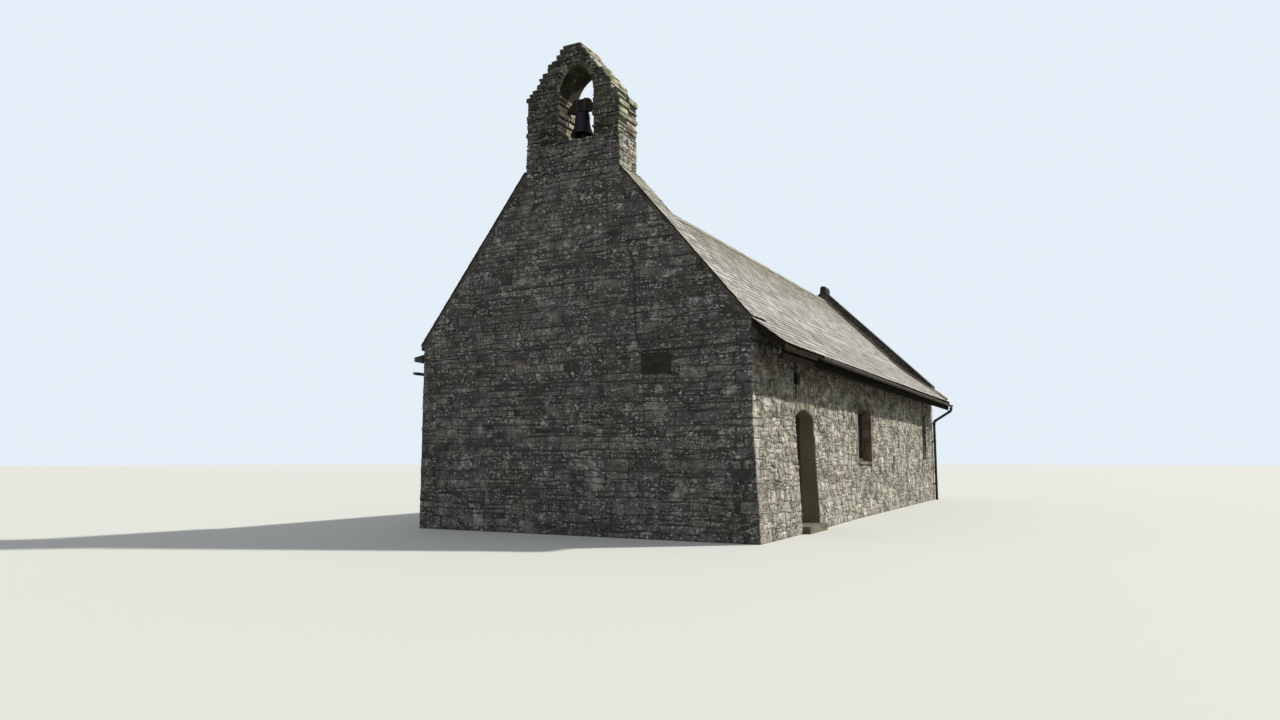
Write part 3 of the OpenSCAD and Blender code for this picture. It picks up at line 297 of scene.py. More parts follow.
def lichened(s, colour, specks, crusts, pale, patchy=0.5):
    """Pale lichen over a colour: frayed specks of three sizes, some faint, and a few wide thin crusts."""
    crowd = s.centred(s.noise(2.3, 4, 0.6), patchy * 2.2)
    bent = s.warped(26, 0.035)
    long = s.stretched(0.55, 0.55, 1.5, bent)
    cover = 0.0
    for scale, share, place in ((8, 0.30, bent), (21, 0.55, long), (36, 0.75, bent)):
        away, chance = s.cells(scale, place)
        chosen = s.plus(s.channel(chance), crowd)
        radius = s.times(s.math("SUBTRACT", chosen, 1 - specks * share), 2.5)
        radius = s.math("MINIMUM", radius, 0.40)
        spot = s.step(s.math("SUBTRACT", radius, away), -0.04, 0.09)
        strength = s.plus(s.times(s.channel(chance, "Green"), 1.1), 0.15, True)
        cover = s.math("MAXIMUM", cover, s.times(spot, strength))
    ragged = s.centred(s.noise(24, 6, 0.7), 0.45)
    crust = s.plus(s.noise(2.9, 3, 0.5), ragged)
    edge = 0.78 - crusts * 0.18
    cover = s.math("MAXIMUM", cover, s.times(s.step(crust, edge, edge + 0.06), 0.55))
    cover = s.times(cover, s.ramp(s.noise(75, 3, 0.7), (0.34, 0.7), (0.52, 1.0)))
    dull = tuple(c * f for c, f in zip(pale, (0.60, 0.60, 0.55)))
    tinted = s.mix(s.step(s.noise(6.1, 3), 0.38, 0.60), pale, dull)
    return s.mix(cover, colour, tinted), cover


def spread(tones):
    """Stops of a ramp, with the tones evenly from its dark end to its pale end."""
    return [(i / (len(tones) - 1) * 0.9 + 0.05, t) for i, t in enumerate(tones)]


def old_stone(s, tones, pale, specks, crusts, patchy, streak, own):
    """Colour of weathered stone: a tone for each stone, mottling, broad stains and lichen."""
    tone = s.plus(s.times(s.attribute("tone"), own), 0.5 - own / 2)
    cloud = s.centred(s.noise(5.5, 9, 0.66, 0.6), 2.3)
    colour = s.ramp(s.plus(tone, cloud), *spread(tones))
    colour = s.shaded(0.8, colour, s.noise(52, 6, 0.74), (0.34, 0.50), (0.66, 1.42))
    stain = s.noise(0.75, 6, 0.62, place=s.stretched(1.0, 1.0, 2.5))
    colour = s.shaded(streak, colour, stain, (0.38, 0.45), (0.62, 1.25))
    greener, redder = (0.97, 1.04, 0.90), (1.06, 0.97, 1.0)
    hue = s.ramp(s.noise(1.3, 5, 0.6), (0.36, greener), (0.5, (1.0, 1.0, 1.0)), (0.64, redder))
    colour = s.mix(1.0, colour, hue, "MULTIPLY")
    band = s.noise(1.0, 5, 0.6, 0.3, place=s.stretched(1.1, 1.1, 9.0))
    colour = s.shaded(0.5, colour, band, (0.36, 0.62), (0.64, 1.25))
    return lichened(s, colour, specks, crusts, pale, patchy)


def masonry(name, tones, pale, specks=0.35, crusts=0.1, moss=0.0, patchy=0.5, streak=0.25, own=0.5, pit_shade=0.3,
            painted_sunlit=None):
    """Rough old stone with its pits darkened as painted shade, and a trace of moss.

    The last argument gives the tones, lichen colour, specks and crusts of a paler copy for the faces that
    look south: painted sunlight.
    """
    s = Shader(name, 0.93)
    colour, cover = old_stone(s, tones, pale, specks, crusts, patchy, streak, own)
    # Faces that look south take the paler copy of the stone and its lichen: painted sunlight.
    if painted_sunlit:
        painted_sunlit_colour, painted_sunlit_cover = old_stone(s, *painted_sunlit, 0.4, streak, own)
        south = s.step(s.facing("X"), 0.45, 0.75)
        colour = s.mix(south, colour, painted_sunlit_colour)
        cover = s.math("MAXIMUM", cover, s.times(painted_sunlit_cover, south))
    # The lowest parts of the bump are darkened: painted shade in the pits.
    hollow = s.noise(14, 6, 0.68, 0.6)
    pit_shade_mask = s.step(hollow, 0.45, 0.35)
    colour = s.mix(s.times(pit_shade_mask, pit_shade), colour, tuple(c * 0.3 for c in tones[0]))
    grain = s.noise(58, 6, 0.74)
    if moss:
        green = s.times(s.step(s.noise(2.6, 6, 0.66), 0.66 - moss * 0.3, 0.76 - moss * 0.2), 0.5)
        colour = s.mix(green, colour, s.ramp(grain, (0.3, srgb("3c3b28")), (0.7, srgb("65633f"))))
    relief = s.plus(s.times(hollow, 0.9), s.times(grain, 0.45))
    relief = s.plus(relief, s.times(cover, 0.22))
    return s.finish(colour, relief, 0.016, 0.9)


def mortar(name, dark, light, pale, specks=0.3, crusts=0.1, moss=0.0, painted_sunlit=None):
    """Old lime mortar, weathered to nearly the colour of its stones."""
    s = Shader(name, 0.96)
    blotch = s.noise(3.2, 7, 0.65)
    colour = s.ramp(blotch, (0.36, dark), (0.62, light))
    # Faces that look south take a paler copy of the mortar: painted sunlight.
    if painted_sunlit:
        painted_sunlit_colour = s.ramp(blotch, (0.36, painted_sunlit[0]), (0.62, painted_sunlit[1]))
        colour = s.mix(s.step(s.facing("X"), 0.45, 0.75), colour, painted_sunlit_colour)
    grit = s.noise(85, 4, 0.75)
    colour = s.shaded(0.6, colour, grit, (0.34, 0.60), (0.66, 1.25))
    colour, _ = lichened(s, colour, specks, crusts, pale)
    if moss:
        colour = s.mix(s.step(s.noise(2.2, 5), 0.62 - moss * 0.3, 0.72), colour, srgb("5c5c37"))
    return s.finish(colour, s.plus(grit, s.noise(14, 6, 0.7)), 0.012, 0.85)


def render_coat(name, low, high):
    """Smooth old render with soft stains."""
    s = Shader(name, 0.92)
    colour = s.ramp(s.noise(1.9, 5, 0.6, place=s.stretched(1, 1, 0.45)), (0.35, low), (0.65, high))
    colour = s.shaded(0.35, colour, s.noise(40, 4, 0.7), (0.35, 0.75), (0.65, 1.15))
    return s.finish(colour, s.plus(s.noise(6, 5), s.times(s.noise(70, 3), 0.3)), 0.006, 0.5)


OLIVE_FROM = 5.0


def slate(name, tones, moss=0.5, specks=0.4):
    """Small old slates: a tone for each, riven face, tails darkened as painted shade, pale lichen, olive
    towards the ridge.
    """
    s = Shader(name, 0.78)
    drift = s.centred(s.noise(11, 6, 0.7), 0.9)
    own = s.plus(s.times(s.attribute("tone"), 0.52), 0.24)
    colour = s.ramp(s.plus(own, drift), *spread(tones))
    grain = s.noise(70, 4, 0.7)
    colour = s.shaded(0.5, colour, grain, (0.32, 0.66), (0.68, 1.28))
    colour, cover = lichened(s, colour, specks, 0.0, srgb("e2dfd8"), 0.2)
    uneven = s.plus(s.height(), s.times(s.noise(1.1, 3), 1.6))
    high = s.step(uneven, OLIVE_FROM + 0.6, OLIVE_FROM + 2.0)
    colour = s.mix(s.times(high, 0.55), colour, srgb("b9b892"), "MULTIPLY")
    patch = s.step(s.noise(6, 5, 0.68), 0.66 - moss * 0.2, 0.77 - moss * 0.15)
    patch = s.times(patch, s.step(s.noise(22, 3, 0.6), 0.38, 0.60))
    green = s.ramp(grain, (0.3, srgb("55542f")), (0.7, srgb("807b4c")))
    colour = s.mix(s.times(patch, 0.6), colour, green)
    # Faces that look sideways or down, mostly the slates' tails, turn dark brown-grey: painted shade under
    # each course.
    colour = s.mix(s.step(s.facing("Z"), 0.35, 0.1), colour, srgb("37322c"))
    relief = s.plus(s.noise(34, 5, 0.7), s.times(cover, 0.3))
    return s.finish(colour, relief, 0.004, 0.6)


def timber(name, dark, light, along, roughness=0.8, shine=0.25):
    """Old sawn wood with grain along one axis."""
    s = Shader(name, roughness)
    s.skin.inputs["Specular IOR Level"].default_value = shine
    scale = {"x": (1.2, 26, 26), "y": (26, 1.2, 26), "z": (26, 26, 1.2)}[along]
    grain = s.noise(1.0, 7, 0.65, 0.6, place=s.stretched(*scale))
    colour = s.ramp(grain, (0.34, dark), (0.66, light))
    colour = s.shaded(0.5, colour, s.noise(4.5, 4), (0.35, 0.62), (0.65, 1.2))
    return s.finish(colour, grain, 0.003, 0.6)


def iron(name, paint, rust_share, roughness=0.55):
    """Painted or bare iron with blistered rust."""
    s = Shader(name, roughness)
    s.skin.inputs["Specular IOR Level"].default_value = 0.5
    blister = s.noise(9, 7, 0.72)
    rusty = s.step(blister, 0.70 - rust_share * 0.35, 0.78 - rust_share * 0.3)
    coat = s.mix(s.noise(2.2, 4), tuple(c * 0.8 for c in paint), tuple(c * 1.25 for c in paint))
    rust = s.ramp(s.noise(45, 4, 0.7), (0.35, srgb("3a2418")), (0.65, srgb("7a4a2c")))
    colour = s.mix(rusty, coat, rust)
    rough = s.ramp(rusty, (0.0, roughness), (1.0, 0.92))
    return s.finish(colour, s.plus(s.times(rusty, 0.6), s.noise(120, 3)), 0.0015, 0.6, rough)


def bronze(name):
    """Dark weathered bronze, paler where it is worn."""
    s = Shader(name, 0.5)
    s.skin.inputs["Metallic"].default_value = 0.55
    weather = s.noise(6, 6, 0.7, place=s.stretched(1, 1, 0.4))
    colour = s.ramp(weather, (0.34, srgb("1b181c")), (0.56, srgb("2c272b")), (0.76, srgb("464a44")))
    rough = s.ramp(weather, (0.35, 0.42), (0.7, 0.8))
    return s.finish(colour, s.noise(60, 5, 0.7), 0.0012, 0.5, rough)


def glass(name):
    """Dark old window glass, nearly opaque: painted shade of the room behind."""
    s = Shader(name, 0.12)
    s.skin.inputs["Specular IOR Level"].default_value = 0.5
    s.skin.inputs["Alpha"].default_value = 0.82
    colour = s.ramp(s.noise(3, 3), (0.35, srgb("1d2322")), (0.65, srgb("323b3a")))
    return s.finish(colour, s.noise(9, 2), 0.002, 0.3)


def glazed(name):
    """Glazed ware, dulled by dirt."""
    s = Shader(name, 0.18)
    s.skin.inputs["Specular IOR Level"].default_value = 0.5
    colour = s.mix(s.step(s.noise(16, 5), 0.5, 0.75), srgb("e2dfd5"), srgb("b3aa98"))
    return s.finish(colour)


def brickwork(name):
    """Old dull bricks in courses, partly under limewash."""
    s = Shader(name, 0.92)
    across = s.add("ShaderNodeSeparateXYZ", {0: s.place}).outputs
    flat = s.add("ShaderNodeCombineXYZ", {"X": s.plus(across["X"], across["Y"]), "Y": across["Z"]})
    brick = s.bricks(flat.outputs[0], ("6b4a40", "836558", "827c6f"),
                     {"Brick Width": 0.225, "Row Height": 0.075, "Mortar Size": 0.007, "Mortar Smooth": 0.3})
    worn = s.ramp(s.noise(9, 6, 0.7), (0.35, 0.55), (0.65, 1.25))
    colour = s.mix(0.6, brick.outputs["Color"], worn, "MULTIPLY")
    wash = s.times(s.step(s.noise(5, 7, 0.7), 0.40, 0.60), 0.7)
    colour = s.mix(wash, colour, srgb("a39c8d"))
    relief = s.math("SUBTRACT", s.noise(30, 5, 0.7), brick.outputs["Fac"])
    return s.finish(colour, relief, 0.006, 0.8)


def flooring(name):
    """Stone flags inside."""
    s = Shader(name, 0.85)
    brick = s.bricks(s.place, ("77746c", "65635c", "3c3a35"),
                     {"Brick Width": 0.62, "Row Height": 0.45, "Mortar Size": 0.008})
    colour = s.mix(0.5, brick.outputs["Color"], s.ramp(s.noise(6, 6), (0.35, 0.7), (0.65, 1.2)), "MULTIPLY")
    return s.finish(colour, s.noise(12, 5), 0.004, 0.5)


# Stone colours, dark to pale
# The west gable's GREY stone is darker than the side walls' BUFF: partly its own stone, partly painted shade.
GREY = palette("454344", "5f5c5d", "747170", "888580", "a6a39c")
BUFF = palette("413e38", "716d64", "9d988c", "bfbaac", "dcd8cd")
# Paler copy of the stone for the gable's faces that look south: painted sunlight.
PAINTED_SUNLIT_BUFF = (BUFF, srgb("f6f3ea"), 0.95, 1.2)
# Dark and pale copies of the bellcote slabs, for faces away from the sun and faces to the south: painted
# shade and painted sunlight.
PAINTED_SHADE_SLAB = palette("2d2c2a", "42403b", "56544e", "6a6860", "86847a")
PAINTED_SUNLIT_SLAB = (palette("4a463a", "79745c", "a09b80", "c4c0a8", "e0ddcc"), srgb("f1efe2"), 0.85, 1.1)
SLATES = palette("5a5751", "7f7c76", "9f9b95", "bbb8b1", "d6d4cd")

MATERIALS = {}


def make_materials():
    m = MATERIALS
    m["gable"] = masonry("gable_rubble", GREY, srgb("f7f6f1"), 0.66, 0.80, 0.10,
                         patchy=0.8, streak=0.5, own=0.42, pit_shade=0.55, painted_sunlit=PAINTED_SUNLIT_BUFF)
    m["wall"] = masonry("wall_rubble", BUFF, srgb("f8f5ec"), 0.95, 1.30, 0.02,
                        patchy=0.8, streak=0.6, own=0.52, pit_shade=1.0)
    m["slab"] = masonry("bellcote_slabs", PAINTED_SHADE_SLAB, srgb("d3d2c6"), 0.62, 0.75, 0.20,
                        patchy=0.6, own=0.6, pit_shade=0.8, painted_sunlit=PAINTED_SUNLIT_SLAB)
    # The gable mortar is darker than the side walls' mortar, partly painted shade, and its paler pair for
    # south faces is painted sunlight.
    m["gable_mortar"] = mortar("gable_mortar", *palette("3e3d3b", "5e5c57", "c4c3bb"), 0.36, 0.3, 0.05,
                               painted_sunlit=palette("5c574c", "a29c8d"))
    m["wall_mortar"] = mortar("wall_mortar", *palette("4b473e", "928c7e", "eeebe1"), 0.8, 0.8)
    m["slab_mortar"] = mortar("bellcote_mortar", *palette("24231f", "403e38", "a8a698"), 0.2, 0.1, 0.2)
    m["reveal"] = render_coat("reveal_render", srgb("7d785f"), srgb("989277"))
    m["plaster"] = render_coat("inside_plaster", srgb("b7b3a6"), srgb("cfccc2"))
    m["slate"] = slate("roof_slates", SLATES)
    m["fillet"] = mortar("fillet_mortar", *palette("6f5e50", "9c9486", "c9c5b8"), 0.5, 0.4)
    m["bed"] = mortar("slate_bed", *palette("4b483f", "7a7566", "a19d90"))
    # Near-black stone for the east copings, kneelers, apex stone and the parapet's west face: painted shade.
    m["dark_coping"] = masonry("dark_coping", palette("2e2d2b", "3e3c39", "4d4b46"),
                               srgb("8f8d84"), 0.25, 0.2, 0.3)
    m["dressed"] = masonry("dressed_stone", BUFF, srgb("cfcabc"), 0.4, 0.3)
    m["quiet"] = masonry("threshold_slab", palette("6d685b", "857f70", "9b9485"), srgb("c9c4b4"), 0.25, 0.2)
    # The west kneelers take only the darkest gable tones and moss: partly moss, partly painted shade under
    # the eaves.
    m["kneeler"] = masonry("kneeler_stone", GREY[:3], srgb("b9b8ae"), 0.4, 0.3, 0.35)
    # The voussoirs are paler than the wall so that they look sunlit where the eaves shadow falls on them:
    # painted sunlight.
    m["voussoir"] = masonry("door_voussoirs", palette("7d7566", "a0978a", "bdb5a5", "d9d3c5"),
                            srgb("efece2"), 0.6, 0.6, own=0.9)
    m["brick"] = brickwork("old_brick")
    for key, name, dark, light, along, *finish in (
            ("oak", "old_oak", "33281d", "5d4a37", "y"),
            ("headstock", "headstock_oak", "1e1a17", "40372d", "x", 0.85),
            ("door", "door_boards", "38291c", "604a35", "z", 0.7),
            ("paint", "weathered_paint", "4d473c", "7b7364", "z", 0.65),
            # The roof boards and the eaves board are near-black and almost without shine: painted shade under
            # the eaves.
            ("deck", "roof_boards", "211d19", "3a332b", "y", 0.95, 0.02),
            ("eaves", "eaves_board", "16130f", "282420", "y", 0.95, 0.02)):
        m[key] = timber(name, srgb(dark), srgb(light), along, *finish)
    # The gutter's dark grey-brown is partly its paint and partly painted shade under the eaves.
    for key, name, paint, rust, roughness in (
            ("gutter", "gutter_paint", "45403a", 0.45, 0.85), ("iron", "bare_iron", "232120", 0.25, 0.7),
            ("cable", "cable_sheath", "211f1e", 0.0, 0.6), ("box", "box_shell", "171614", 0.0, 0.95),
            ("pipe", "pipe_paint", "1d1c1b", 0.2, 0.7)):
        m[key] = iron(name, srgb(paint), rust, roughness)
    m["glass"] = glass("old_glass")
    m["bronze"] = bronze("bell_bronze")
    m["plaque"] = masonry("plaque_slate", palette("34322f", "3e3c39", "484541"),
                          srgb("5c5f66"), 0.05, 0.0, streak=0.1, own=0.2, pit_shade=0.05)
    m["porcelain"] = glazed("porcelain")
    m["soffit"] = mortar("arch_soffit", srgb("25241b"), srgb("4c4a35"), srgb("a8a68c"), 0.25, 0.3, 0.35)
    m["flags"] = flooring("floor_flags")


CAD_LOOKS = {
    "dark_coping": ("east_copings", "east_kneelers", "apex_stone"),
    "dressed": ("window_sills", "window_lintels"),
    "quiet": ("threshold",),
    "kneeler": ("west_kneelers",),
    "brick": ("brick_jambs",),
    "deck": ("south_roof", "north_roof"),
    "oak": ("principal_rafters", "collars", "purlins", "wall_plates", "rafter_feet"),
    "eaves": ("eaves_board",),
    "headstock": ("headstock",),
    "door": ("door_leaf",),
    "paint": ("door_frame", "window_frames"),
    "glass": ("window_glass",),
    "gutter": ("south_gutter", "north_gutter"),
    "pipe": ("downpipe", "gutter_brackets"),
    "iron": ("door_ironwork", "door_pintles", "bell_ironwork", "clapper", "bell_bearings"),
    "bronze": ("bell",),
    "plaque": ("plaque",),
    "cable": ("cable",),
    "porcelain": ("insulators",),
    "box": ("junction_box",),
    "flags": ("floor_slab",),
}


def dress_cad_nodes():
    for look, names in CAD_LOOKS.items():
        for name in names:
            node = NODES[name]
            node.data.materials.clear()
            node.data.materials.append(MATERIALS[look])


def placed(name, mesh, materials, slot):
    """Makes an object of a mesh, in its materials, and sets it on the building."""
    for material in materials:
        mesh.materials.append(MATERIALS[material])
    piece = bpy.data.objects.new(name, mesh)
    bpy.context.scene.collection.objects.link(piece)
    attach(piece, HOME)
    return piece


# Building meshes from many small solids
class Pile:
    """Many small closed solids gathered into one object, each with a tone of its own."""

    def __init__(self):
        self.points = []
        self.corners = []
        self.sizes = []
        self.tones = []
        self.total = 0

    def add(self, points, template, tone):
        corners, sizes = template
        self.points.append(points)
        self.corners.append(corners + self.total)
        self.sizes.append(sizes)
        self.tones.append(np.full(len(points), tone))
        self.total += len(points)

    def build(self, name, material, slot, smooth_angle=38):
        mesh = bpy.data.meshes.new(name)
        points = np.concatenate(self.points).astype(np.float32)
        corners = np.concatenate(self.corners).astype(np.int32)
        sizes = np.concatenate(self.sizes)
        mesh.vertices.add(len(points))
        mesh.vertices.foreach_set("co", points.ravel())
        mesh.loops.add(len(corners))
        mesh.loops.foreach_set("vertex_index", corners)
        mesh.polygons.add(len(sizes))
        mesh.polygons.foreach_set("loop_start", (np.cumsum(sizes) - sizes).astype(np.int32))
        mesh.update(calc_edges=True)
        tone = mesh.attributes.new("tone", "FLOAT", "POINT")
        tone.data.foreach_set("value", np.concatenate(self.tones).astype(np.float32))
        mesh.polygons.foreach_set("use_smooth", np.ones(len(sizes), bool))
        mesh.set_sharp_from_angle(angle=math.radians(smooth_angle))
        return placed(name, mesh, (material,), slot)


def face_template(faces):
    corners = np.array([i for face in faces for i in face], int)
    return corners, np.array([len(face) for face in faces], int)


STONE_TEMPLATES = {}


def stone_template(n):
    """Faces of a stone with n corners: a back, three rings and a crown."""
    if n not in STONE_TEMPLATES:
        faces = [[n - 1 - i for i in range(n)]]
        for ring in range(3):
            for i in range(n):
                j = (i + 1) % n
                faces.append([ring * n + i, ring * n + j, ring * n + n + j, ring * n + n + i])
        faces += [[3 * n + i, 3 * n + (i + 1) % n, 4 * n] for i in range(n)]
        STONE_TEMPLATES[n] = face_template(faces)
    return STONE_TEMPLATES[n]


def box_template():
    """A box with every edge and corner cut: 24 points, three at each corner."""
    signs = [(x, y, z) for x in (-1, 1) for y in (-1, 1) for z in (-1, 1)]
    index = {(s, a): 3 * i + a for i, s in enumerate(signs) for a in range(3)}
    faces = []
    for a in range(3):
        b, c = (a + 1) % 3, (a + 2) % 3
        for side in (-1, 1):
            ring = []
            for sb, sc in ((-1, -1), (1, -1), (1, 1), (-1, 1)):
                s = [0, 0, 0]
                s[a], s[b], s[c] = side, sb, sc
                ring.append(index[tuple(s), a])
            faces.append(ring if side > 0 else ring[::-1])
        for sb in (-1, 1):
            for sc in (-1, 1):
                low, high = [0, 0, 0], [0, 0, 0]
                low[a], low[b], low[c] = -1, sb, sc
                high[a], high[b], high[c] = 1, sb, sc
                low, high = tuple(low), tuple(high)
                strip = [index[low, b], index[high, b], index[high, c], index[low, c]]
                faces.append(strip if sb * sc > 0 else strip[::-1])
    for s in signs:
        corner = [index[s, 0], index[s, 1], index[s, 2]]
        faces.append(corner if s[0] * s[1] * s[2] > 0 else corner[::-1])
    return face_template(faces), np.array(signs, float)


BOX_TEMPLATE, BOX_SIGNS = box_template()


def rough_box(rng, size, cut, jitter):
    """Points of an irregular block about its own middle."""
    half = np.array(size, float) / 2
    cut = min(cut, half.min() * 0.6)
    points = np.repeat(BOX_SIGNS, 3, axis=0)
    inset = np.ones((24, 3)) * cut
    inset[np.arange(24), np.tile(np.arange(3), 8)] = 0
    corner_shift = np.repeat(rng.normal(0, jitter, (8, 3)), 3, axis=0)
    return points * (half - inset) + corner_shift + rng.normal(0, jitter * 0.35, (24, 3))


def clip(polygon, normal, limit):
    """The part of a convex outline where normal . point is at most limit."""
    out = []
    side = polygon @ normal - limit
    for i in range(len(polygon)):
        j = (i + 1) % len(polygon)
        if side[i] <= 0:
            out.append(polygon[i])
        if (side[i] < 0 < side[j]) or (side[j] < 0 < side[i]):
            t = side[i] / (side[i] - side[j])
            out.append(polygon[i] + t * (polygon[j] - polygon[i]))
    return np.array(out) if len(out) > 2 else None


def area(polygon):
    x, y = polygon[:, 0], polygon[:, 1]
    return 0.5 * abs(np.dot(x, np.roll(y, -1)) - np.dot(y, np.roll(x, -1)))


def outward(a, b):
    edge = b - a
    return np.array([edge[1], -edge[0]]) / np.hypot(*edge)


def without(polygon, hole):
    """The convex parts of an outline that lie beside a convex hole."""
    if (polygon.max(0) < hole.min(0)).any() or (polygon.min(0) > hole.max(0)).any():
        return [polygon]
    parts, rest = [], polygon
    for i in range(len(hole)):
        a, b = hole[i], hole[(i + 1) % len(hole)]
        normal = outward(a, b)
        part = clip(rest, -normal, -(normal @ a))
        if part is not None and area(part) > 1e-4:
            parts.append(part)
        rest = clip(rest, normal, normal @ a)
        if rest is None:
            break
    return parts


def rectangle(u0, u1, v0, v1):
    return np.array([(u0, v0), (u1, v0), (u1, v1), (u0, v1)], float)


def rounded(polygon, rng, radius):
    """Cuts each sharp corner of an outline into two points."""
    n = len(polygon)
    out = []
    for i in range(n):
        here, before, after = polygon[i], polygon[i - 1], polygon[(i + 1) % n]
        back, on = before - here, after - here
        lb, lo = np.hypot(*back), np.hypot(*on)
        straight = (back @ on) / max(lb * lo, 1e-9)
        if straight < -0.96:
            out.append(here)
            continue
        out.append(here + back * min(radius * rng.uniform(0.5, 1.3) / max(lb, 1e-6), 0.38))
        out.append(here + on * min(radius * rng.uniform(0.5, 1.3) / max(lo, 1e-6), 0.38))
    return np.array(out)


def inset(polygon, distance):
    """Moves each point of a convex outline inwards."""
    before = polygon - np.roll(polygon, 1, axis=0)
    after = np.roll(polygon, -1, axis=0) - polygon
    normals = []
    for e in (before, after):
        length = np.maximum(np.hypot(e[:, 0], e[:, 1]), 1e-6)
        normals.append(np.stack([-e[:, 1], e[:, 0]], axis=1) / length[:, None])
    total = normals[0] + normals[1]
    share = 1 + (normals[0] * normals[1]).sum(1)
    return polygon + total / np.maximum(share, 0.35)[:, None] * distance


# Limits of one rubble stone, in metres and square metres
SMALLEST_AREA = 0.0010
SMALLEST_SIDE = 0.028
SMALLEST_RIM = 0.008
CORNER_CUT = 0.028
SHOULDER = 0.006
BROW = 0.020
ROOT = 0.03


def stone(pile, rng, outline, joint, relief, place, tone, edge=0.011):
    """One rubble stone: an uneven face, a rim lower by edge, and nothing below the ground."""
    if len(outline) < 3:
        return
    reach = outline.max(0) - outline.min(0)
    if area(outline) < SMALLEST_AREA or reach.min() < SMALLEST_SIDE:
        return
    rim = inset(rounded(outline, rng, CORNER_CUT), joint / 2)
    thin = min(reach.min() / 2 - joint / 2, area(outline) / reach.max() / 2)
    if thin < SMALLEST_RIM:
        return
    n = len(rim)
    rim = rim + rng.normal(0, min(0.0025, thin * 0.1), rim.shape)
    shoulder = inset(rim, min(SHOULDER, thin * 0.3))
    brow = inset(rim, min(BROW, thin * 0.65))
    proud = rng.uniform(*relief)
    tilt = rng.normal(0, 0.012, 2)
    middle = rim.mean(0)
    flat = np.concatenate([rim, rim, shoulder, brow, [middle]])
    depth = np.concatenate([
        np.full(n, -ROOT),
        np.full(n, proud - edge) + rng.normal(0, 0.0015, n),
        np.full(n, proud - 0.3 * edge) + rng.normal(0, 0.0015, n),
        np.full(n, proud) + rng.normal(0, 0.0022, n),
        [proud + rng.normal(0.001, 0.002)]])
    depth[n:] += (flat[n:] - middle) @ tilt
    depth[n:] = np.minimum(depth[n:], relief[1] + 0.003)
    placed = place(flat[:, 0], flat[:, 1], depth)
    placed[:, 2] = np.maximum(placed[:, 2], 0.0)
    pile.add(placed, stone_template(n), tone)


def bed_joints(rng, low, high, small, large, growth=0.0):
    """Heights of the bed joints, with larger courses low down where growth is given."""
    joints = [low]
    while joints[-1] < high:
        up = (joints[-1] - low) / max(high - low, 1e-6)
        scale = 1 + growth * (0.5 - up)
        joints.append(joints[-1] + rng.uniform(small, large) * scale)
    joints = np.array(joints)
    return low + (joints - low) * (high - low) / (joints[-1] - low)


def rubble(pile, rng, u0, u1, low, high, place, bounds=(), holes=(), small=0.085, large=0.19,
           width=(0.13, 0.7), joint=0.009, relief=(-0.003, 0.005), split=0.5, wave=0.010, growth=0.3,
           edge=0.011, skew=0.022):
    """Covers a stretch of wall with roughly coursed rubble, inside the bounds and outside the holes."""
    joints = bed_joints(rng, low, high, small, large, growth)
    phases = rng.uniform(0, 2 * math.pi, (len(joints), 4))

    def bed(k, u):
        if k in (0, len(joints) - 1):
            return joints[k]
        p = phases[k]
        drift = math.sin(u * 1.3 + p[0]) + 0.8 * math.sin(u * 4.3 + p[1])
        return joints[k] + wave * (drift + 0.7 * math.sin(u * 11 + p[2]) + 0.4 * math.sin(u * 27 + p[3]))

    for k in range(len(joints) - 1):
        gap = joints[k + 1] - joints[k]
        u = u0
        lean = 0.0
        while u < u1 - 0.02:
            step = (width[0] + (width[1] - width[0]) * rng.beta(1.3, 2.6)) * (0.8 + 2.0 * gap)
            if u1 - u - step < width[0] * 0.7:
                step = u1 - u
            end = u + step
            next_lean = 0.0 if end >= u1 - 1e-6 else rng.normal(0, skew)
            middle = (u + end) / 2
            corners = np.array([
                (u - lean, bed(k, u)), (middle, bed(k, middle)), (end - next_lean, bed(k, end)),
                (end + next_lean, bed(k + 1, end)), (middle, bed(k + 1, middle)), (u + lean, bed(k + 1, u))])
            parts = [corners]
            if gap > 0.115 and rng.random() < split:
                parts = split_stone(rng, corners)
            for normal, limit in bounds:
                parts = [clip(part, normal, limit) for part in parts if part is not None]
            parts = [part for part in parts if part is not None]
            for hole in holes:
                parts = [left for part in parts for left in without(part, hole)]
            for part in parts:
                gap_here = joint * rng.uniform(0.7, 1.5)
                stone(pile, rng, part, gap_here, relief, place, rng.beta(2.2, 2.2), edge)
            u, lean = end, next_lean


def split_stone(rng, corners):
    """Breaks one stone's place into two thin slabs, or a slab over two small stones."""
    low, high = corners[:, 1].min(), corners[:, 1].max()
    level = low + (high - low) * rng.uniform(0.35, 0.65)
    slope = rng.normal(0, 0.05)
    normal = np.array([-slope, 1.0]) / math.hypot(slope, 1)
    limit = normal @ np.array([corners[:, 0].mean(), level])
    under, over = clip(corners, normal, limit), clip(corners, -normal, -limit)
    parts = [under, over]
    chosen = int(rng.random() < 0.5)
    part = parts[chosen]
    if part is not None and np.ptp(part[:, 0]) > 0.2 and rng.random() < 0.6:
        across = np.array([1.0, rng.normal(0, 0.1)])
        limit = across @ np.array([part[:, 0].min() + np.ptp(part[:, 0]) * rng.uniform(0.35, 0.65), level])
        parts[chosen:chosen + 1] = [clip(part, across, limit), clip(part, -across, -limit)]
    return parts


def wall_plane(origin, along, face=None):
    """Turns places on a wall, along it, up it and out of it, into points."""
    along = np.array(along, float)
    out = np.cross(along, (0, 0, 1))
    origin = np.array(origin, float)

    def place(u, v, d):
        if face is not None:
            d = d + face(u, v)
        return origin + np.outer(u, along) + np.outer(d, out) + np.outer(v, (0, 0, 1))
    return place


QUOIN_HEIGHTS = (0.07, 0.19)
QUOIN_LONG = (0.24, 0.46)
QUOIN_SHORT = (0.13, 0.22)
QUOIN_JOINT = 0.008


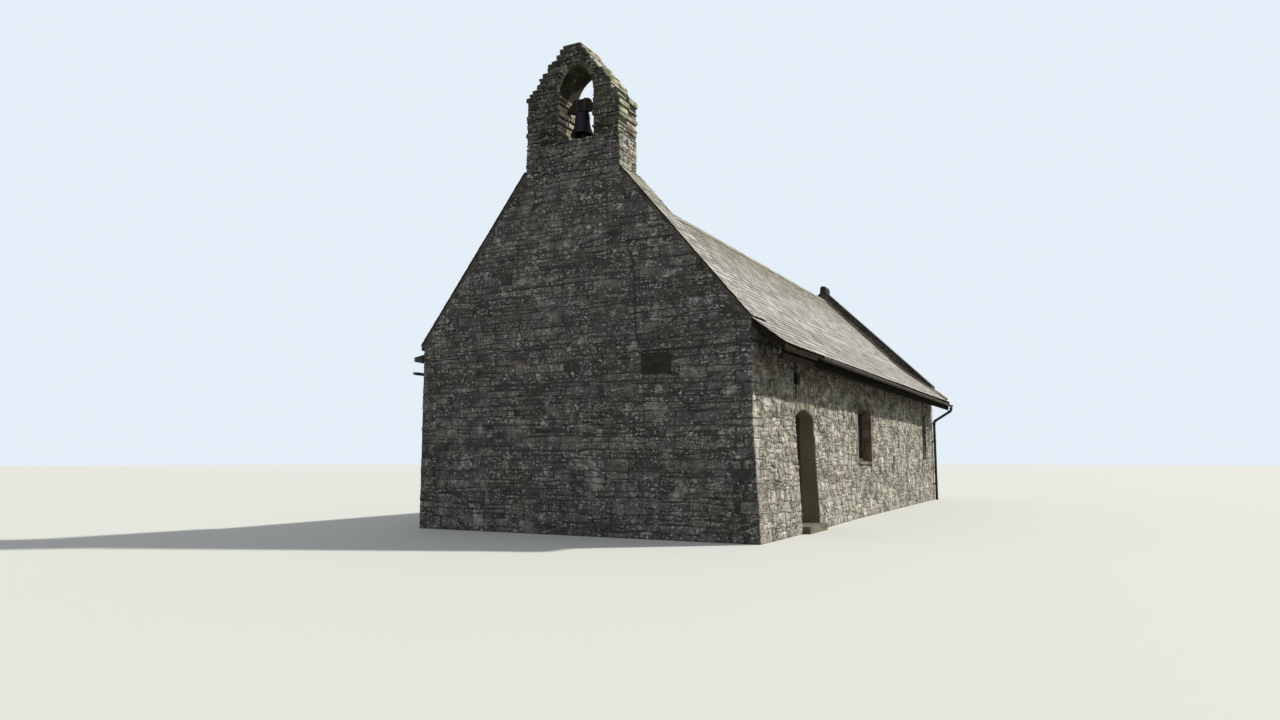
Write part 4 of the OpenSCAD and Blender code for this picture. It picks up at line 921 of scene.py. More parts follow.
def quoins(pile, rng, corner, first, second, low, high, lean):
    """Corner stones, long and short by turns. Gives each one's reach along both walls and its heights."""
    z = low
    flip = 0
    places = []
    first, second = np.array(first, float), np.array(second, float)
    right_handed = np.cross(first, second)[2] > 0
    while z < high - 0.03:
        h = min(rng.uniform(*QUOIN_HEIGHTS), high - z)
        long, short = rng.uniform(*QUOIN_LONG), rng.uniform(*QUOIN_SHORT)
        a, b = (long, short) if flip else (short, long)
        flip = 1 - flip
        points = rough_box(rng, (a, b, h - QUOIN_JOINT), 0.011, 0.004)
        proud = rng.uniform(-0.002, 0.004)
        middle = np.array(corner, float) + first * (a / 2 - proud) + second * (b / 2 - proud)
        middle = middle + (0, 0, z + h / 2) + lean(z + h / 2)
        if not right_handed:
            points = mirrored_order(points * (-1, 1, 1))
        turned = points @ np.array([first, second, (0, 0, 1)])
        pile.add(turned + middle, BOX_TEMPLATE, rng.beta(2.2, 2.2))
        places.append((a, b, z, z + h))
        z += h
    return places


def one_look(normal, centre):
    """Gives every face the first material."""
    return 0


def shrunk_copy(name, sources, depth_of, slot, materials, looks=one_look, cuts=()):
    """One object made of copies of CAD nodes, with chosen faces sunk to mortar depth.

    depth_of(normal, centre) gives how far a face sinks, looks(normal, centre) its material's place.
    Faces are divided along the cuts, each a point and a normal, so that their looks can differ.
    """
    whole = bmesh.new()
    for source in sources:
        part = bmesh.new()
        part.from_mesh(NODES[source].data)
        bmesh.ops.remove_doubles(part, verts=part.verts, dist=1e-5)
        for point, normal in cuts:
            everything = part.verts[:] + part.edges[:] + part.faces[:]
            bmesh.ops.bisect_plane(part, geom=everything, plane_co=point, plane_no=normal)
        part.normal_update()
        shifts = {}
        for vert in part.verts:
            rows, depths = [], []
            for face in vert.link_faces:
                normal = np.array(face.normal)
                if any(normal @ other > 0.999 for other in rows):
                    continue
                rows.append(normal)
                depths.append(-depth_of(face.normal, face.calc_center_median()))
            if rows and any(depths):
                shifts[vert] = np.linalg.lstsq(np.array(rows), np.array(depths), rcond=1e-3)[0]
        for vert, shift in shifts.items():
            vert.co += Vector(shift)
        part.normal_update()
        for face in part.faces:
            face.material_index = looks(face.normal, face.calc_center_median())
        mesh = bpy.data.meshes.new("part")
        part.to_mesh(mesh)
        whole.from_mesh(mesh)
        bpy.data.meshes.remove(mesh)
        part.free()
    mesh = bpy.data.meshes.new(name)
    whole.to_mesh(mesh)
    whole.free()
    tone = mesh.attributes.new("tone", "FLOAT", "POINT")
    tone.data.foreach_set("value", np.full(len(mesh.vertices), 0.5, np.float32))
    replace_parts(placed(name, mesh, materials, slot), *sources)


# Lines of the roof and the gable, as heights over a distance from the middle
def roof_z(x, south=True):
    if not south or x <= EAVES_TURN_X:
        return RIDGE_Z - x * math.tan(ROOF_PITCH)
    return RIDGE_Z - EAVES_TURN_X * math.tan(ROOF_PITCH) - (x - EAVES_TURN_X) * math.tan(EAVES_PITCH)


def slope_bound(points):
    """A bound for rubble: stay on the inner side of the line from one point to the next."""
    a, b = (np.array(p, float) for p in points)
    normal = outward(a, b)
    return normal, normal @ a


SOUTH_CAP_LOW, SOUTH_CAP_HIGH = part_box("west_coping_south")
NORTH_CAP_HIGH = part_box("west_coping_north")[1]


def gable_bounds():
    """The two sloping lines under the slate capping of the west gable."""
    drop_s = CAPPING_T / math.cos(SOUTH_GABLE_PITCH)
    drop_n = CAPPING_T / math.cos(NORTH_GABLE_PITCH)
    top_s = (SOUTH_CAP_LOW.x, SOUTH_CAP_HIGH.z - drop_s)
    top_n = (NORTH_CAP_HIGH.x, NORTH_CAP_HIGH.z - drop_n)
    low_s = (top_s[0] + 1, top_s[1] - math.tan(SOUTH_GABLE_PITCH))
    low_n = (top_n[0] - 1, top_n[1] - math.tan(NORTH_GABLE_PITCH))
    return [slope_bound((low_s, top_s)), slope_bound((top_n, low_n))]


def lean_at(y, z):
    """How far the south wall's face stands out of plumb."""
    fade = np.clip(1 - (y - DOOR_Y1) / LEAN_RUN, 0, 1)
    return LEAN * np.minimum(fade, np.clip(1 - z / LEAN_TOP_Z, 0, 1))


# Walls
def sunk_outside(normal, centre):
    """Outer faces of the walls sink to the mortar, the rest stays."""
    if normal.x > 0.9 and centre.x > HALF_W - 0.02:
        return MORTAR_DEPTH
    if normal.x < -0.9 and centre.x < -HALF_W + 0.02:
        return MORTAR_DEPTH
    if normal.y < -0.9 and centre.y < WEST_Y + 0.02:
        return GABLE_MORTAR_DEPTH
    if normal.y > 0.9 and centre.y > EAST_Y - 0.02:
        return GABLE_MORTAR_DEPTH
    return 0.0


def wall_looks(normal, centre):
    """0 mortar outside, 1 plaster inside, 2 render in the doorway."""
    inside = abs(centre.x) < HALF_W - 0.3 and WEST_IN - 0.01 < centre.y < EAST_IN + 0.01
    inside = inside and centre.z < roof_z(abs(centre.x), centre.x > 0)
    in_door = DOOR_Y0 - 0.01 < centre.y < DOOR_Y1 + 0.01 and centre.x > HALF_W - 0.3 and abs(normal.y) > 0.5
    under_arch = DOOR_Y0 < centre.y < DOOR_Y1 and normal.z < -0.5
    if in_door or under_arch:
        return 2
    return 1 if inside else 0


def roof_cuts():
    """Planes of the roof's surface, which divide the gables' inner faces."""
    ridge = (0, 0, RIDGE_Z)
    steep = math.radians(90) - ROOF_PITCH
    shallow = math.radians(90) - EAVES_PITCH
    turn = (EAVES_TURN_X, 0, roof_z(EAVES_TURN_X))
    return ((ridge, (math.cos(steep), 0, math.sin(steep))), (ridge, (-math.cos(steep), 0, math.sin(steep))),
            (turn, (math.cos(shallow), 0, math.sin(shallow))))


def build_walls():
    south_nodes = ("south_wall_west", "south_wall_over_door", "south_wall_nave", "south_wall_chancel")
    for name, sources, look, slot, cuts in (
            ("gable_core", ("west_gable", "east_gable"), "gable_mortar", "gable_stone", roof_cuts()),
            ("side_wall_core", (*south_nodes, "north_wall"), "wall_mortar", "wall_stone", ())):
        shrunk_copy(name, sources, sunk_outside, slot, (look, "plaster", "reveal"), wall_looks, cuts)
    all_quoins()
    west_rubble()
    south_rubble()
    north_rubble()
    east_rubble()


CORNERS = {}
QUOIN_TOP = 2.95
PARAPET_LOW = 2.9
EAVES_GAP = 0.11

# How the stones of each kind of wall differ from the plain rubble
GABLE_STONES = dict(joint=0.010, relief=(-0.002, 0.006), split=0.6, wave=0.013, edge=0.006)
SIDE_STONES = dict(small=0.10, large=0.24, width=(0.08, 0.5), joint=0.004, relief=(-0.006, 0.008), split=0.85,
                   wave=0.024, skew=0.04)
PARAPET_STONES = dict(small=0.06, large=0.13, width=(0.12, 0.6))


def all_quoins():
    """The four corners of the building. Keeps each corner's stones, for the rubble to stop at."""
    for name, x_side, y, into, look in (
            ("south_west", 1, WEST_Y, 1, "gable"), ("north_west", -1, WEST_Y, 1, "gable"),
            ("south_east", 1, EAST_Y, -1, "wall"), ("north_east", -1, EAST_Y, -1, "wall")):
        rng = rng_for(name)
        pile = Pile()

        def lean(z):
            return np.array((float(lean_at(y, z)) if x_side > 0 else 0.0, 0, 0))

        foot = (x_side * HALF_W, y, 0)
        CORNERS[name] = quoins(pile, rng, foot, (-x_side, 0, 0), (0, into, 0), 0, QUOIN_TOP, lean)
        pile.build("quoins_" + name, look, "gable_stone")


def quoin_holes(corner, at, direction, side):
    """Quoin stones on one wall as holes. side is 0 for the gable's reach and 1 for the side wall's."""
    holes = []
    for *reaches, low, high in CORNERS[corner]:
        u0, u1 = sorted((at - direction * 0.02, at + direction * reaches[side]))
        holes.append(rectangle(u0, u1, low, high))
    return holes


def roof_bounds():
    """Bounds that keep stones above the south and the north roof, for the parapets."""
    turn_z = roof_z(EAVES_TURN_X)
    upper = slope_bound(((0, RIDGE_Z), (EAVES_TURN_X, turn_z)))
    lower = slope_bound(((EAVES_TURN_X, turn_z), (HALF_W, roof_z(HALF_W))))
    north = slope_bound(((-HALF_W, roof_z(HALF_W, False)), (0, RIDGE_Z)))
    return [upper, lower], [north]


def west_rubble():
    rng = rng_for("west")
    pile = Pile()
    place = wall_plane((0, WEST_Y, 0), (1, 0, 0))
    bounds = gable_bounds()
    holes = quoin_holes("south_west", HALF_W, -1, 0) + quoin_holes("north_west", -HALF_W, 1, 0)
    base_low, base_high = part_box("bellcote_base")
    notch = [rectangle(base_low.x, base_high.x, base_low.z, base_high.z)]
    rubble(pile, rng, -HALF_W, HALF_W, 0, QUOIN_TOP, place, (), holes,
           small=0.06, large=0.21, width=(0.12, 1.25), **GABLE_STONES)
    rubble(pile, rng, -HALF_W, HALF_W, QUOIN_TOP, GABLE_HIGH.z, place, bounds, notch,
           small=0.05, large=0.18, width=(0.12, 1.25), **GABLE_STONES)
    middle = (base_low + base_high) / 2
    across, through = (base_high.x - base_low.x) / 2, (base_high.y - base_low.y) / 2
    for origin, along, reach in (((middle.x, base_low.y, 0), (1, 0, 0), across),
                                 ((middle.x, base_high.y, 0), (-1, 0, 0), across),
                                 ((base_high.x, middle.y, 0), (0, 1, 0), through),
                                 ((base_low.x, middle.y, 0), (0, -1, 0), through)):
        side = wall_plane(origin, along)
        rubble(pile, rng, -reach, reach, base_low.z, base_high.z, side,
               small=0.045, large=0.13, width=(0.10, 0.8), **GABLE_STONES)
    pile.build("west_gable_stones", "gable", "gable_stone")

    pile = Pile()
    place = wall_plane((0, WEST_IN, 0), (-1, 0, 0))
    for (u0, u1), roof in zip(((-HALF_W, 0), (0, HALF_W)), roof_bounds()):
        turned = [(normal * (-1, 1), limit) for normal, limit in bounds + roof]
        rubble(pile, rng, u0, u1, PARAPET_LOW, SEAT_Z + 0.35, place, turned, **PARAPET_STONES)
    pile.build("west_parapet_stones", "gable", "gable_stone")


def islands(name):
    """Boxes of the separate solids in one CAD node."""
    mesh = NODES[name].data
    build = bmesh.new()
    build.from_mesh(mesh)
    bmesh.ops.remove_doubles(build, verts=build.verts, dist=1e-5)
    found, seen = [], set()
    for start in build.verts:
        if start in seen:
            continue
        group, queue = [], [start]
        seen.add(start)
        while queue:
            vert = queue.pop()
            group.append(vert.co.copy())
            for edge in vert.link_edges:
                other = edge.other_vert(vert)
                if other not in seen:
                    seen.add(other)
                    queue.append(other)
        points = np.array(group)
        found.append((points.min(0), points.max(0)))
    build.free()
    return found


def node_rectangles(name, side):
    """Rectangles, along the wall and up, of a node's solids on one side wall."""
    out = []
    for low, high in islands(name):
        if side * (low[0] + high[0]) / 2 > HALF_W - 0.7:
            out.append(rectangle(low[1], high[1], low[2], high[2]))
    return out


def window_holes(side):
    """Everything on one side wall that the rubble stops at."""
    nodes = ("window_lintels", "window_sills", "brick_jambs", "window_frames")
    return [hole for name in nodes for hole in node_rectangles(name, side)]


ARCH_TOP_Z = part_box("door_arch")[1].z
VOUSSOIR_L = 0.30
VOUSSOIR_WIDTHS = (0.045, 0.085)
DOOR_RISE = 0.14


DOOR_MIDDLE = (DOOR_Y0 + DOOR_Y1) / 2


def door_circle():
    """Middle height and radius of the door arch's inner curve, and half the angle that it spans."""
    half = (DOOR_Y1 - DOOR_Y0) / 2
    radius = (half * half + DOOR_RISE * DOOR_RISE) / (2 * DOOR_RISE)
    return ARCH_TOP_Z - VOUSSOIR_L - radius, radius, math.asin(half / radius)


def door_holes():
    """The doorway and its arch, as outlines that the rubble stops at."""
    centre_z, radius, spread = door_circle()
    angles = [(radius, spread), (radius, -spread)]
    angles += [(radius + VOUSSOIR_L, a) for a in np.linspace(-spread, spread, 9)]
    ring = np.array([(DOOR_MIDDLE - r * math.sin(a), centre_z + r * math.cos(a)) for r, a in angles])
    return [rectangle(DOOR_Y0, DOOR_Y1, -1, centre_z + radius * math.cos(spread)), ring]


def south_rubble():
    rng = rng_for("south")
    pile = Pile()
    place = wall_plane((HALF_W, 0, 0), (0, 1, 0), lean_at)
    top = roof_z(HALF_W) - EAVES_GAP
    holes = door_holes() + window_holes(1)
    holes += quoin_holes("south_west", WEST_Y, 1, 1) + quoin_holes("south_east", EAST_Y, -1, 1)
    rubble(pile, rng, WEST_Y, EAST_Y, 0, top, place, (), holes, **SIDE_STONES)
    pile.build("south_wall_stones", "wall", "wall_stone")


def north_rubble():
    rng = rng_for("north")
    pile = Pile()
    place = wall_plane((-HALF_W, 0, 0), (0, -1, 0))
    top = roof_z(HALF_W, False) - EAVES_GAP
    holes = [(hole * (-1, 1))[::-1] for hole in window_holes(-1)]
    holes += quoin_holes("north_west", -WEST_Y, -1, 1) + quoin_holes("north_east", -EAST_Y, 1, 1)
    rubble(pile, rng, -EAST_Y, -WEST_Y, 0, top, place, (), holes, **SIDE_STONES)
    pile.build("north_wall_stones", "wall", "wall_stone")


def east_rubble():
    rng = rng_for("east")
    pile = Pile()
    place = wall_plane((0, EAST_Y, 0), (-1, 0, 0))
    top = EAST_HIGH.z
    edge = min(v.co.z for v in NODES["east_gable"].data.vertices
               if v.co.x > HALF_W - 0.001 and v.co.z > 1)
    bounds = [slope_bound(((HALF_W, edge), (0, top))), slope_bound(((0, top), (-HALF_W, edge)))]
    holes = []
    for name in ("window_lintels", "window_sills", "window_frames"):
        for low, high in islands(name):
            if high[1] > EAST_IN + 0.1 and abs(low[0] + high[0]) < 0.2:
                holes.append(rectangle(-high[0], -low[0], low[2], high[2]))
    corners = quoin_holes("south_east", -HALF_W, 1, 0) + quoin_holes("north_east", HALF_W, -1, 0)
    rubble(pile, rng, -HALF_W, HALF_W, 0, edge, place, (), holes + corners,
           small=0.08, large=0.20, width=(0.11, 0.7))
    rubble(pile, rng, -HALF_W, HALF_W, edge, top, place, bounds, holes,
           small=0.07, large=0.19, width=(0.11, 0.7))
    pile.build("east_gable_stones", "wall", "gable_stone")

    pile = Pile()
    place = wall_plane((0, EAST_IN, 0), (1, 0, 0))
    south, north = roof_bounds()
    rubble(pile, rng, 0, HALF_W, PARAPET_LOW, top, place, [bounds[0], *south], **PARAPET_STONES)
    rubble(pile, rng, -HALF_W, 0, PARAPET_LOW, top, place, [bounds[1], *north], **PARAPET_STONES)
    # The parapet's inner face takes the near-black coping stone: painted shade.
    pile.build("east_parapet_stones", "dark_coping", "gable_stone")


FILLET_W = 0.11


def parapet_fillets():
    """Mortar fillets where the slates meet the raised east gable."""
    rng = rng_for("fillets")
    for south in (True, False):
        pile = Pile()
        place, total, _ = slope_place(south)
        near, far = (EAST_IN - FILLET_W, EAST_IN) if south else (FILLET_W - EAST_IN, -EAST_IN)
        edges = np.append(np.arange(0.02, total - 0.1, 0.3), total - 0.01)
        raised = rng.uniform(0.085, 0.105, len(edges))
        foot = rng.uniform(-0.02, 0.02, len(edges))
        for k in range(len(edges) - 1):
            u, v, d = [], [], []
            for end in (k, k + 1):
                u += [near + foot[end], far, far]
                v += [edges[end]] * 3
                d += [0.012, 0.012, raised[end]]
            points = place(np.array(u), np.array(v), np.array(d))
            faces = [[0, 2, 1], [3, 4, 5], [0, 1, 4, 3], [1, 2, 5, 4], [2, 0, 3, 5]]
            pile.add(points, face_template(faces), rng.beta(2, 2))
        pile.build("parapet_fillet_south" if south else "parapet_fillet_north", "fillet", "gable_stone")


def door_voussoirs():
    """Thin radial slabs over the doorway."""
    rng = rng_for("voussoirs")
    pile = Pile()
    centre_z, radius, spread = door_circle()
    place = wall_plane((HALF_W, 0, 0), (0, 1, 0), lean_at)
    angles = [-spread]
    while angles[-1] < spread:
        angles.append(angles[-1] + rng.uniform(*VOUSSOIR_WIDTHS) / radius)
    angles = np.array(angles)
    angles = -spread + (angles + spread) * 2 * spread / (angles[-1] + spread)
    for a0, a1 in zip(angles[:-1], angles[1:]):
        reach = radius + VOUSSOIR_L - rng.uniform(0.0, 0.05)
        corners = np.array([(DOOR_MIDDLE + r * math.sin(a), centre_z + r * math.cos(a))
                            for r, a in ((radius, a1), (reach, a1), (reach, a0), (radius, a0))])[::-1]
        if np.cross(corners[1] - corners[0], corners[2] - corners[1]) < 0:
            corners = corners[::-1]
        stone(pile, rng, corners, 0.006, (-0.002, 0.008), place, rng.beta(2, 2))
    pile.build("door_voussoirs", "voussoir", "dressed_stone")
    shrunk_copy("door_arch_core", ("door_arch",), sunk_outside, "dressed_stone", ("reveal",))


# Bellcote
SLAB_THIN = 0.034
SLAB_SPREAD = 0.085
THINNEST_TOP = 0.035
RING_WIDTHS = (0.045, 0.08)
RING_SETBACK = 0.012


def slab_row(pile, rng, x0, x1, z0, z1, y0, y1, ragged=0.014, width=(0.16, 0.42)):
    """One course of slabs through the bellcote's thickness, in two rows with broken joints."""
    split = (y0 + y1) / 2 + rng.uniform(-0.06, 0.06)
    for near, far in ((y0, split), (split, y1)):
        u = x0 + rng.normal(0, ragged)
        last = x1 + rng.normal(0, ragged)
        while u < last - 0.02:
            step = rng.uniform(*width)
            if last - u - step < width[0] * 0.6:
                step = last - u
            out = rng.uniform(-0.006, 0.014)
            low = near - out if near == y0 else near
            high = far + out if far == y1 else far
            size = (step - 0.009, high - low, z1 - z0 - rng.uniform(0.002, 0.012))
            points = rough_box(rng, size, 0.013, 0.0045)
            middle = np.array((u + step / 2, (low + high) / 2, (z0 + z1) / 2 + rng.normal(0, 0.002)))
            turn = rng.normal(0, 0.03)
            points[:, 2] += points[:, 0] * turn
            pile.add(points + middle, BOX_TEMPLATE, rng.beta(2, 2))
            u += step


def node_points(name):
    """Corner points of one CAD node."""
    return np.array([v.co for v in NODES[name].data.vertices])


def bellcote():
    rng = rng_for("bellcote")
    pile = Pile()
    base_low, base_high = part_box("bellcote_base")
    opening_x0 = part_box("bellcote_north_pier")[1].x
    opening_x1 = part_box("bellcote_south_pier")[0].x
    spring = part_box("bellcote_north_pier")[1].z
    top_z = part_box("bellcote_gablet")[1].z
    gablet = node_points("bellcote_gablet")
    front = gablet[gablet[:, 1] < gablet[:, 1].min() + 1e-4]
    y0, y1 = base_low.y, base_high.y
    middle_x = (opening_x0 + opening_x1) / 2
    half = (opening_x1 - opening_x0) / 2
    ring_t = middle_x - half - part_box("bellcote_arch")[0].x

    def edges(z):
        """Outer limits of the masonry at a height, from the stepped outline in the frame."""
        if z < spring:
            left = [x for x, _, pz in node_points("bellcote_north_pier") if pz > z]
            right = [x for x, _, pz in node_points("bellcote_south_pier") if pz > z]
            return min(left, default=base_low.x), max(right, default=base_high.x)
        above = front[front[:, 2] > z - 0.02]
        return above[:, 0].min(), above[:, 0].max()

    crown = arch_curve(half)
    z = SILL_Z
    while z < top_z - 0.02:
        z1 = z + SLAB_THIN + SLAB_SPREAD * rng.beta(1.4, 2.2)
        if top_z - z1 < THINNEST_TOP:
            z1 = top_z
        left, right = edges((z + z1) / 2)
        inner = arch_half(crown, (z + z1) / 2, spring, half, ring_t)
        if inner is None:
            slab_row(pile, rng, left, right, z, z1, y0, y1)
        else:
            slab_row(pile, rng, left, middle_x - inner, z, z1, y0, y1)
            slab_row(pile, rng, middle_x + inner, right, z, z1, y0, y1)
        z = z1
    pile.build("bellcote_slabs", "slab", "bellcote_stone")
    ring_slabs(crown, middle_x, spring, ring_t, y0, y1)

    def sunk(normal, centre):
        return DEEP_MORTAR if abs(normal.z) < 0.9 or centre.z > SILL_Z - 0.01 else 0.0

    nodes = ("bellcote_base", "bellcote_north_pier", "bellcote_south_pier", "bellcote_gablet")
    shrunk_copy("bellcote_core", nodes, sunk, "bellcote_stone", ("slab_mortar",))


ARCH_RISE = 0.47


def arch_curve(half):
    """Offset and radius of the two arcs of the pointed arch, from its half width and its rise."""
    offset = (ARCH_RISE * ARCH_RISE - half * half) / (2 * half)
    return offset, half + offset


def arch_half(crown, z, spring, half, ring_t):
    """Half width of the opening with its ring at a height, or None above the crown."""
    offset, radius = crown
    if z <= spring:
        return half
    up = z - spring
    outer = radius + ring_t
    if up >= math.sqrt(outer * outer - offset * offset) - 0.01:
        return None
    return math.sqrt(outer * outer - up * up) - offset


def ring_slabs(crown, middle_x, spring, ring_t, y0, y1):
    """Thin radial slabs round the pointed arch, in two rows through its thickness."""
    rng = rng_for("ring")
    pile = Pile()
    offset, radius = crown
    sweep = math.acos(offset / radius)
    for side in (-1, 1):
        for near, far in ((y0, (y0 + y1) / 2), ((y0 + y1) / 2, y1)):
            a = 0.0
            while a < sweep - 0.02:
                step = min(rng.uniform(*RING_WIDTHS) / radius, sweep - a)
                reach = ring_t - RING_SETBACK + rng.uniform(-0.015, 0.02)
                size = (reach, far - near + rng.uniform(-0.004, 0.02), step * radius * 0.93)
                points = rough_box(rng, size, 0.008, 0.003)
                mid = a + step / 2
                turn = np.array([[math.cos(mid), -math.sin(mid)], [math.sin(mid), math.cos(mid)]])
                flat = points[:, (0, 2)] @ turn.T
                r = radius + RING_SETBACK + reach / 2 + rng.uniform(-0.003, 0.006)
                x = -offset + r * math.cos(mid) + flat[:, 0]
                z = spring + r * math.sin(mid) + flat[:, 1]
                world = np.stack([middle_x + side * x, points[:, 1] + (near + far) / 2, z], axis=1)
                if side < 0:
                    world = mirrored_order(world)
                pile.add(world, BOX_TEMPLATE, rng.beta(2, 2))
                a += step
    pile.build("bellcote_arch_slabs", "slab", "bellcote_stone")

    def sunk(normal, centre):
        return DEEP_MORTAR if abs(normal.y) > 0.9 else 0.0

    shrunk_copy("bellcote_arch_core", ("bellcote_arch",), sunk, "bellcote_stone", ("soffit",))


def mirrored_order(points):
    """Reorders a mirrored block's points so that its faces point outwards again."""
    order = []
    for s in BOX_SIGNS:
        flipped = (-s[0], s[1], s[2])
        source = int(np.where((BOX_SIGNS == flipped).all(1))[0][0])
        order += [3 * source, 3 * source + 1, 3 * source + 2]
    return points[order]


# Slates
def slate_plate(pile, rng, place, u0, u1, v0, v1, lift, thick, tone):
    """One slate: a thin plate with a worn tail, its head under the course above."""
    wear = rng.uniform(-0.006, 0.008, 4)
    us = np.array([u0 + 0.002, u0 + (u1 - u0) * 0.33, u0 + (u1 - u0) * 0.68, u1 - 0.002])
    tail = v0 + wear
    tail[0] += rng.uniform(0, 0.01)
    tail[3] += rng.uniform(0, 0.01)
    heads = np.array([v1] * 4)
    u = np.concatenate([us, us[::-1]])
    v = np.concatenate([tail, heads])
    tilt = rng.normal(0, 0.0004)
    base = np.array([lift] * 4 + [0.0] * 4) + tilt * np.array([-1, -0.3, 0.3, 1, 1, 0.3, -0.3, -1])
    under = place(u, v, base)
    over = place(u, v, base + thick)
    pile.add(np.concatenate([under, over]), SLATE_TEMPLATE, tone)


SLATE_TEMPLATE = face_template([[7, 6, 5, 4, 3, 2, 1, 0], [8, 9, 14, 15], [9, 10, 13, 14], [10, 11, 12, 13]]
                               + [[i, (i + 1) % 8, (i + 1) % 8 + 8, i + 8] for i in range(8)])


def slope_place(south):
    """Turns a distance along the ridge, a distance up from the eaves and a lift into points."""
    side = 1 if south else -1
    low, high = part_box("south_roof" if south else "north_roof")
    eaves_x = high.x if south else -low.x
    turn_x = EAVES_TURN_X if south else eaves_x
    lower = (eaves_x - turn_x) / math.cos(EAVES_PITCH)
    total = lower + turn_x / math.cos(ROOF_PITCH)

    def place(u, v, d):
        v = np.asarray(v, float)
        on_lower = v < lower
        x = np.where(on_lower, eaves_x - v * math.cos(EAVES_PITCH),
                     turn_x - (v - lower) * math.cos(ROOF_PITCH))
        z = np.where(on_lower, roof_z(eaves_x, south) + v * math.sin(EAVES_PITCH),
                     roof_z(turn_x, south) + (v - lower) * math.sin(ROOF_PITCH))
        pitch = np.where(on_lower, EAVES_PITCH, ROOF_PITCH)
        sway = 0.003 * (1 + np.sin(u * 1.3 + v * 0.9) * 0.6 + np.sin(u * 2.1 - v * 1.2) * 0.4)
        lifted = d + sway
        x = x + lifted * np.sin(pitch)
        z = z + lifted * np.cos(pitch)
        return np.stack([side * x, side * u, z], axis=1)
    return place, total, eaves_x


TAIL_REACH = 0.02
LOWEST_GAUGE = 0.186
GAUGE_LOSS = 0.04
SLATE_WIDTHS = (0.16, 0.34)
NARROWEST = 0.08
OVERLAP = 2.1


def roof_slates(south):
    """Courses of slates, broad at the eaves and narrower towards the ridge."""
    name = "south_slates" if south else "north_slates"
    rng = rng_for(name)
    pile = Pile()
    place, total, eaves_x = slope_place(south)
    v = -TAIL_REACH
    while v < total - 0.06:
        gauge = LOWEST_GAUGE - GAUGE_LOSS * (v / total)
        x = eaves_x - v * math.cos(EAVES_PITCH)
        beyond_wall = south and x > HALF_W + 0.02
        y0, y1 = (WEST_Y, EAST_Y) if beyond_wall else (WEST_IN + 0.002, EAST_IN - 0.002)
        if not south:
            y0, y1 = -y1, -y0
        u = y0
        drift = rng.uniform(0, 0.24)
        while u < y1 - 0.01:
            step = rng.uniform(*SLATE_WIDTHS)
            if u == y0:
                step = NARROWEST + drift
            if y1 - u - step < NARROWEST:
                step = y1 - u
            head = min(v + gauge * OVERLAP, total - 0.002)
            slate_plate(pile, rng, place, u, u + step, v + rng.normal(0, 0.006), head,
                        SLATE_LIFT, SLATE_T * rng.uniform(1.3, 1.6), rng.beta(1.8, 1.8))
            u += step
        v += gauge
    return pile.build(name, "slate", "slate_roof", smooth_angle=20)


TILE_LENGTHS = (0.42, 0.50)
SHORTEST_TILE = 0.15
TILE_T = 0.016
TILE_OVERHANG = 0.012


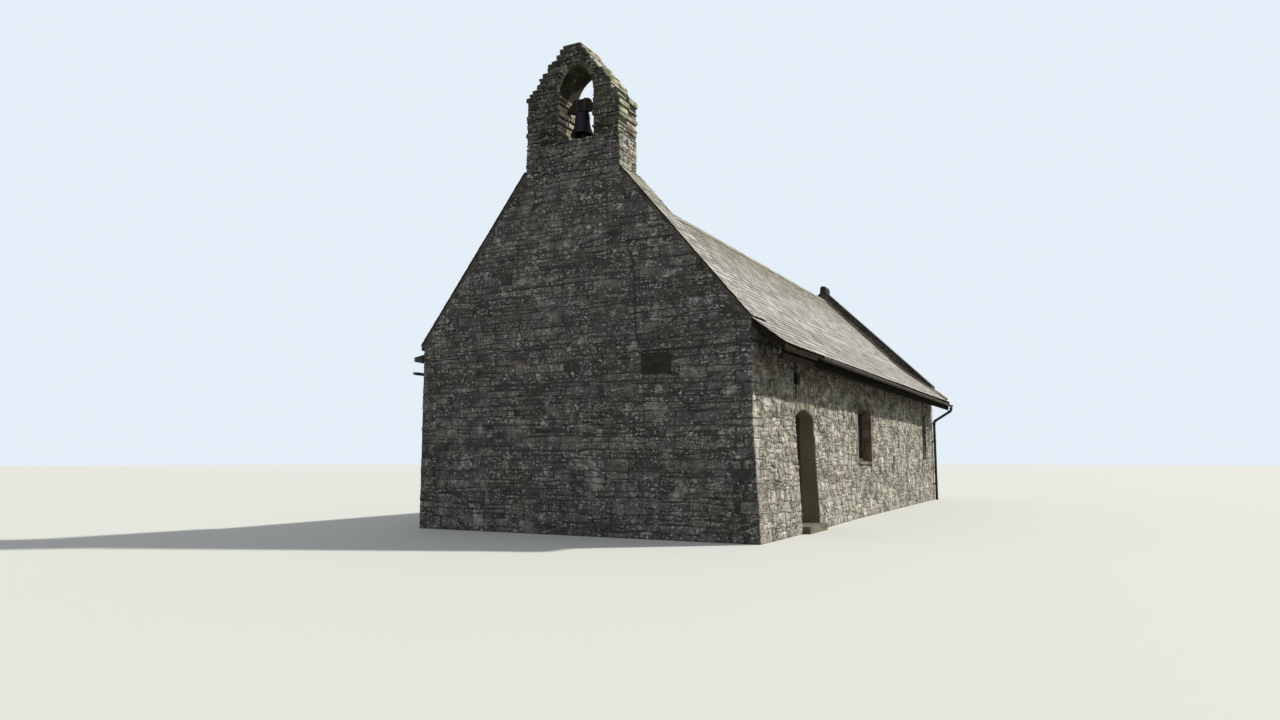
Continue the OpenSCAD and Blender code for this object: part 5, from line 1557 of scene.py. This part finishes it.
def ridge():
    """Angled ridge tiles bedded in mortar."""
    rng = rng_for("ridge")
    low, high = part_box("ridge_tiles")
    pile = Pile()
    wing = high.x + TILE_OVERHANG
    y = low.y
    while y < high.y - 0.01:
        length = min(rng.uniform(*TILE_LENGTHS), high.y - y)
        if high.y - y - length < SHORTEST_TILE:
            length = high.y - y
        top = high.z + rng.normal(0.0, 0.004)
        under, edge = top - TILE_T * 1.4, top - wing
        profile = [(-wing, edge - TILE_T * 1.4), (0, under), (wing, edge - TILE_T * 1.4),
                   (wing, edge), (0.03, top - 0.022), (0, top - 0.008), (-0.03, top - 0.022),
                   (-wing, edge)]
        n = len(profile)
        points = []
        for end, out in ((y + 0.003, 0), (y + length - 0.003, 0.003)):
            points += [(px, end, pz + out) for px, pz in profile]
        faces = [list(range(n)), [2 * n - 1 - i for i in range(n)]]
        faces += [[i, i + n, (i + 1) % n + n, (i + 1) % n] for i in range(n)]
        pile.add(np.array(points), face_template(faces), rng.beta(5, 5))
        y += length
    piece = pile.build("ridge_tile_row", "slate", "slate_roof", smooth_angle=30)
    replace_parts(piece, "ridge_tiles")


CAPPING_WIDTHS = (0.15, 0.30)
CAPPING_SLATE_L = 0.25
CAPPING_GAUGE = 0.125
CAPPING_TAIL = 0.01


def gable_capping(south):
    """Small slates bedded on the sloping top of the raised west gable."""
    name = "gable_slates_south" if south else "gable_slates_north"
    node = "west_coping_south" if south else "west_coping_north"
    low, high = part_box(node)
    pitch = SOUTH_GABLE_PITCH if south else NORTH_GABLE_PITCH
    side = 1 if south else -1
    x_top = low.x if south else -high.x
    x_low = high.x if south else -low.x
    length = (x_low - x_top) / math.cos(pitch)
    rng = rng_for(name)
    pile = Pile()

    def place(u, v, d):
        s = length - v
        x = x_top + s * math.cos(pitch) + d * math.sin(pitch)
        z = high.z - s * math.sin(pitch) + d * math.cos(pitch)
        return np.stack([side * x, side * u, z], axis=1)

    y0, y1 = (low.y, high.y) if south else (-high.y, -low.y)
    v = -CAPPING_TAIL
    while v < length - 0.03:
        u = y0 + rng.uniform(-0.006, 0.004)
        end = y1 - 0.004
        while u < end - 0.02:
            step = rng.uniform(*CAPPING_WIDTHS)
            if end - u - step < NARROWEST:
                step = end - u
            head = min(v + CAPPING_SLATE_L, length)
            slate_plate(pile, rng, place, u, u + step, v + rng.normal(0, 0.006), head,
                        0.010, 0.008 * rng.uniform(0.8, 1.5), rng.beta(2, 2))
            u += step
        v += CAPPING_GAUGE + rng.normal(0, 0.006)
    pile.build(name, "slate", "slate_roof", smooth_angle=20)

    def sunk(normal, centre):
        return DEEP_MORTAR if normal.y < -0.9 or normal.z > 0.3 else 0.0

    shrunk_copy(name + "_bed", (node,), sunk, "flagstone", ("bed",))


add_camera()
add_light()
make_materials()
add_floor()
dress_cad_nodes()
build_walls()
door_voussoirs()
bellcote()
roof_slates(True)
roof_slates(False)
parapet_fillets()
ridge()
gable_capping(True)
gable_capping(False)
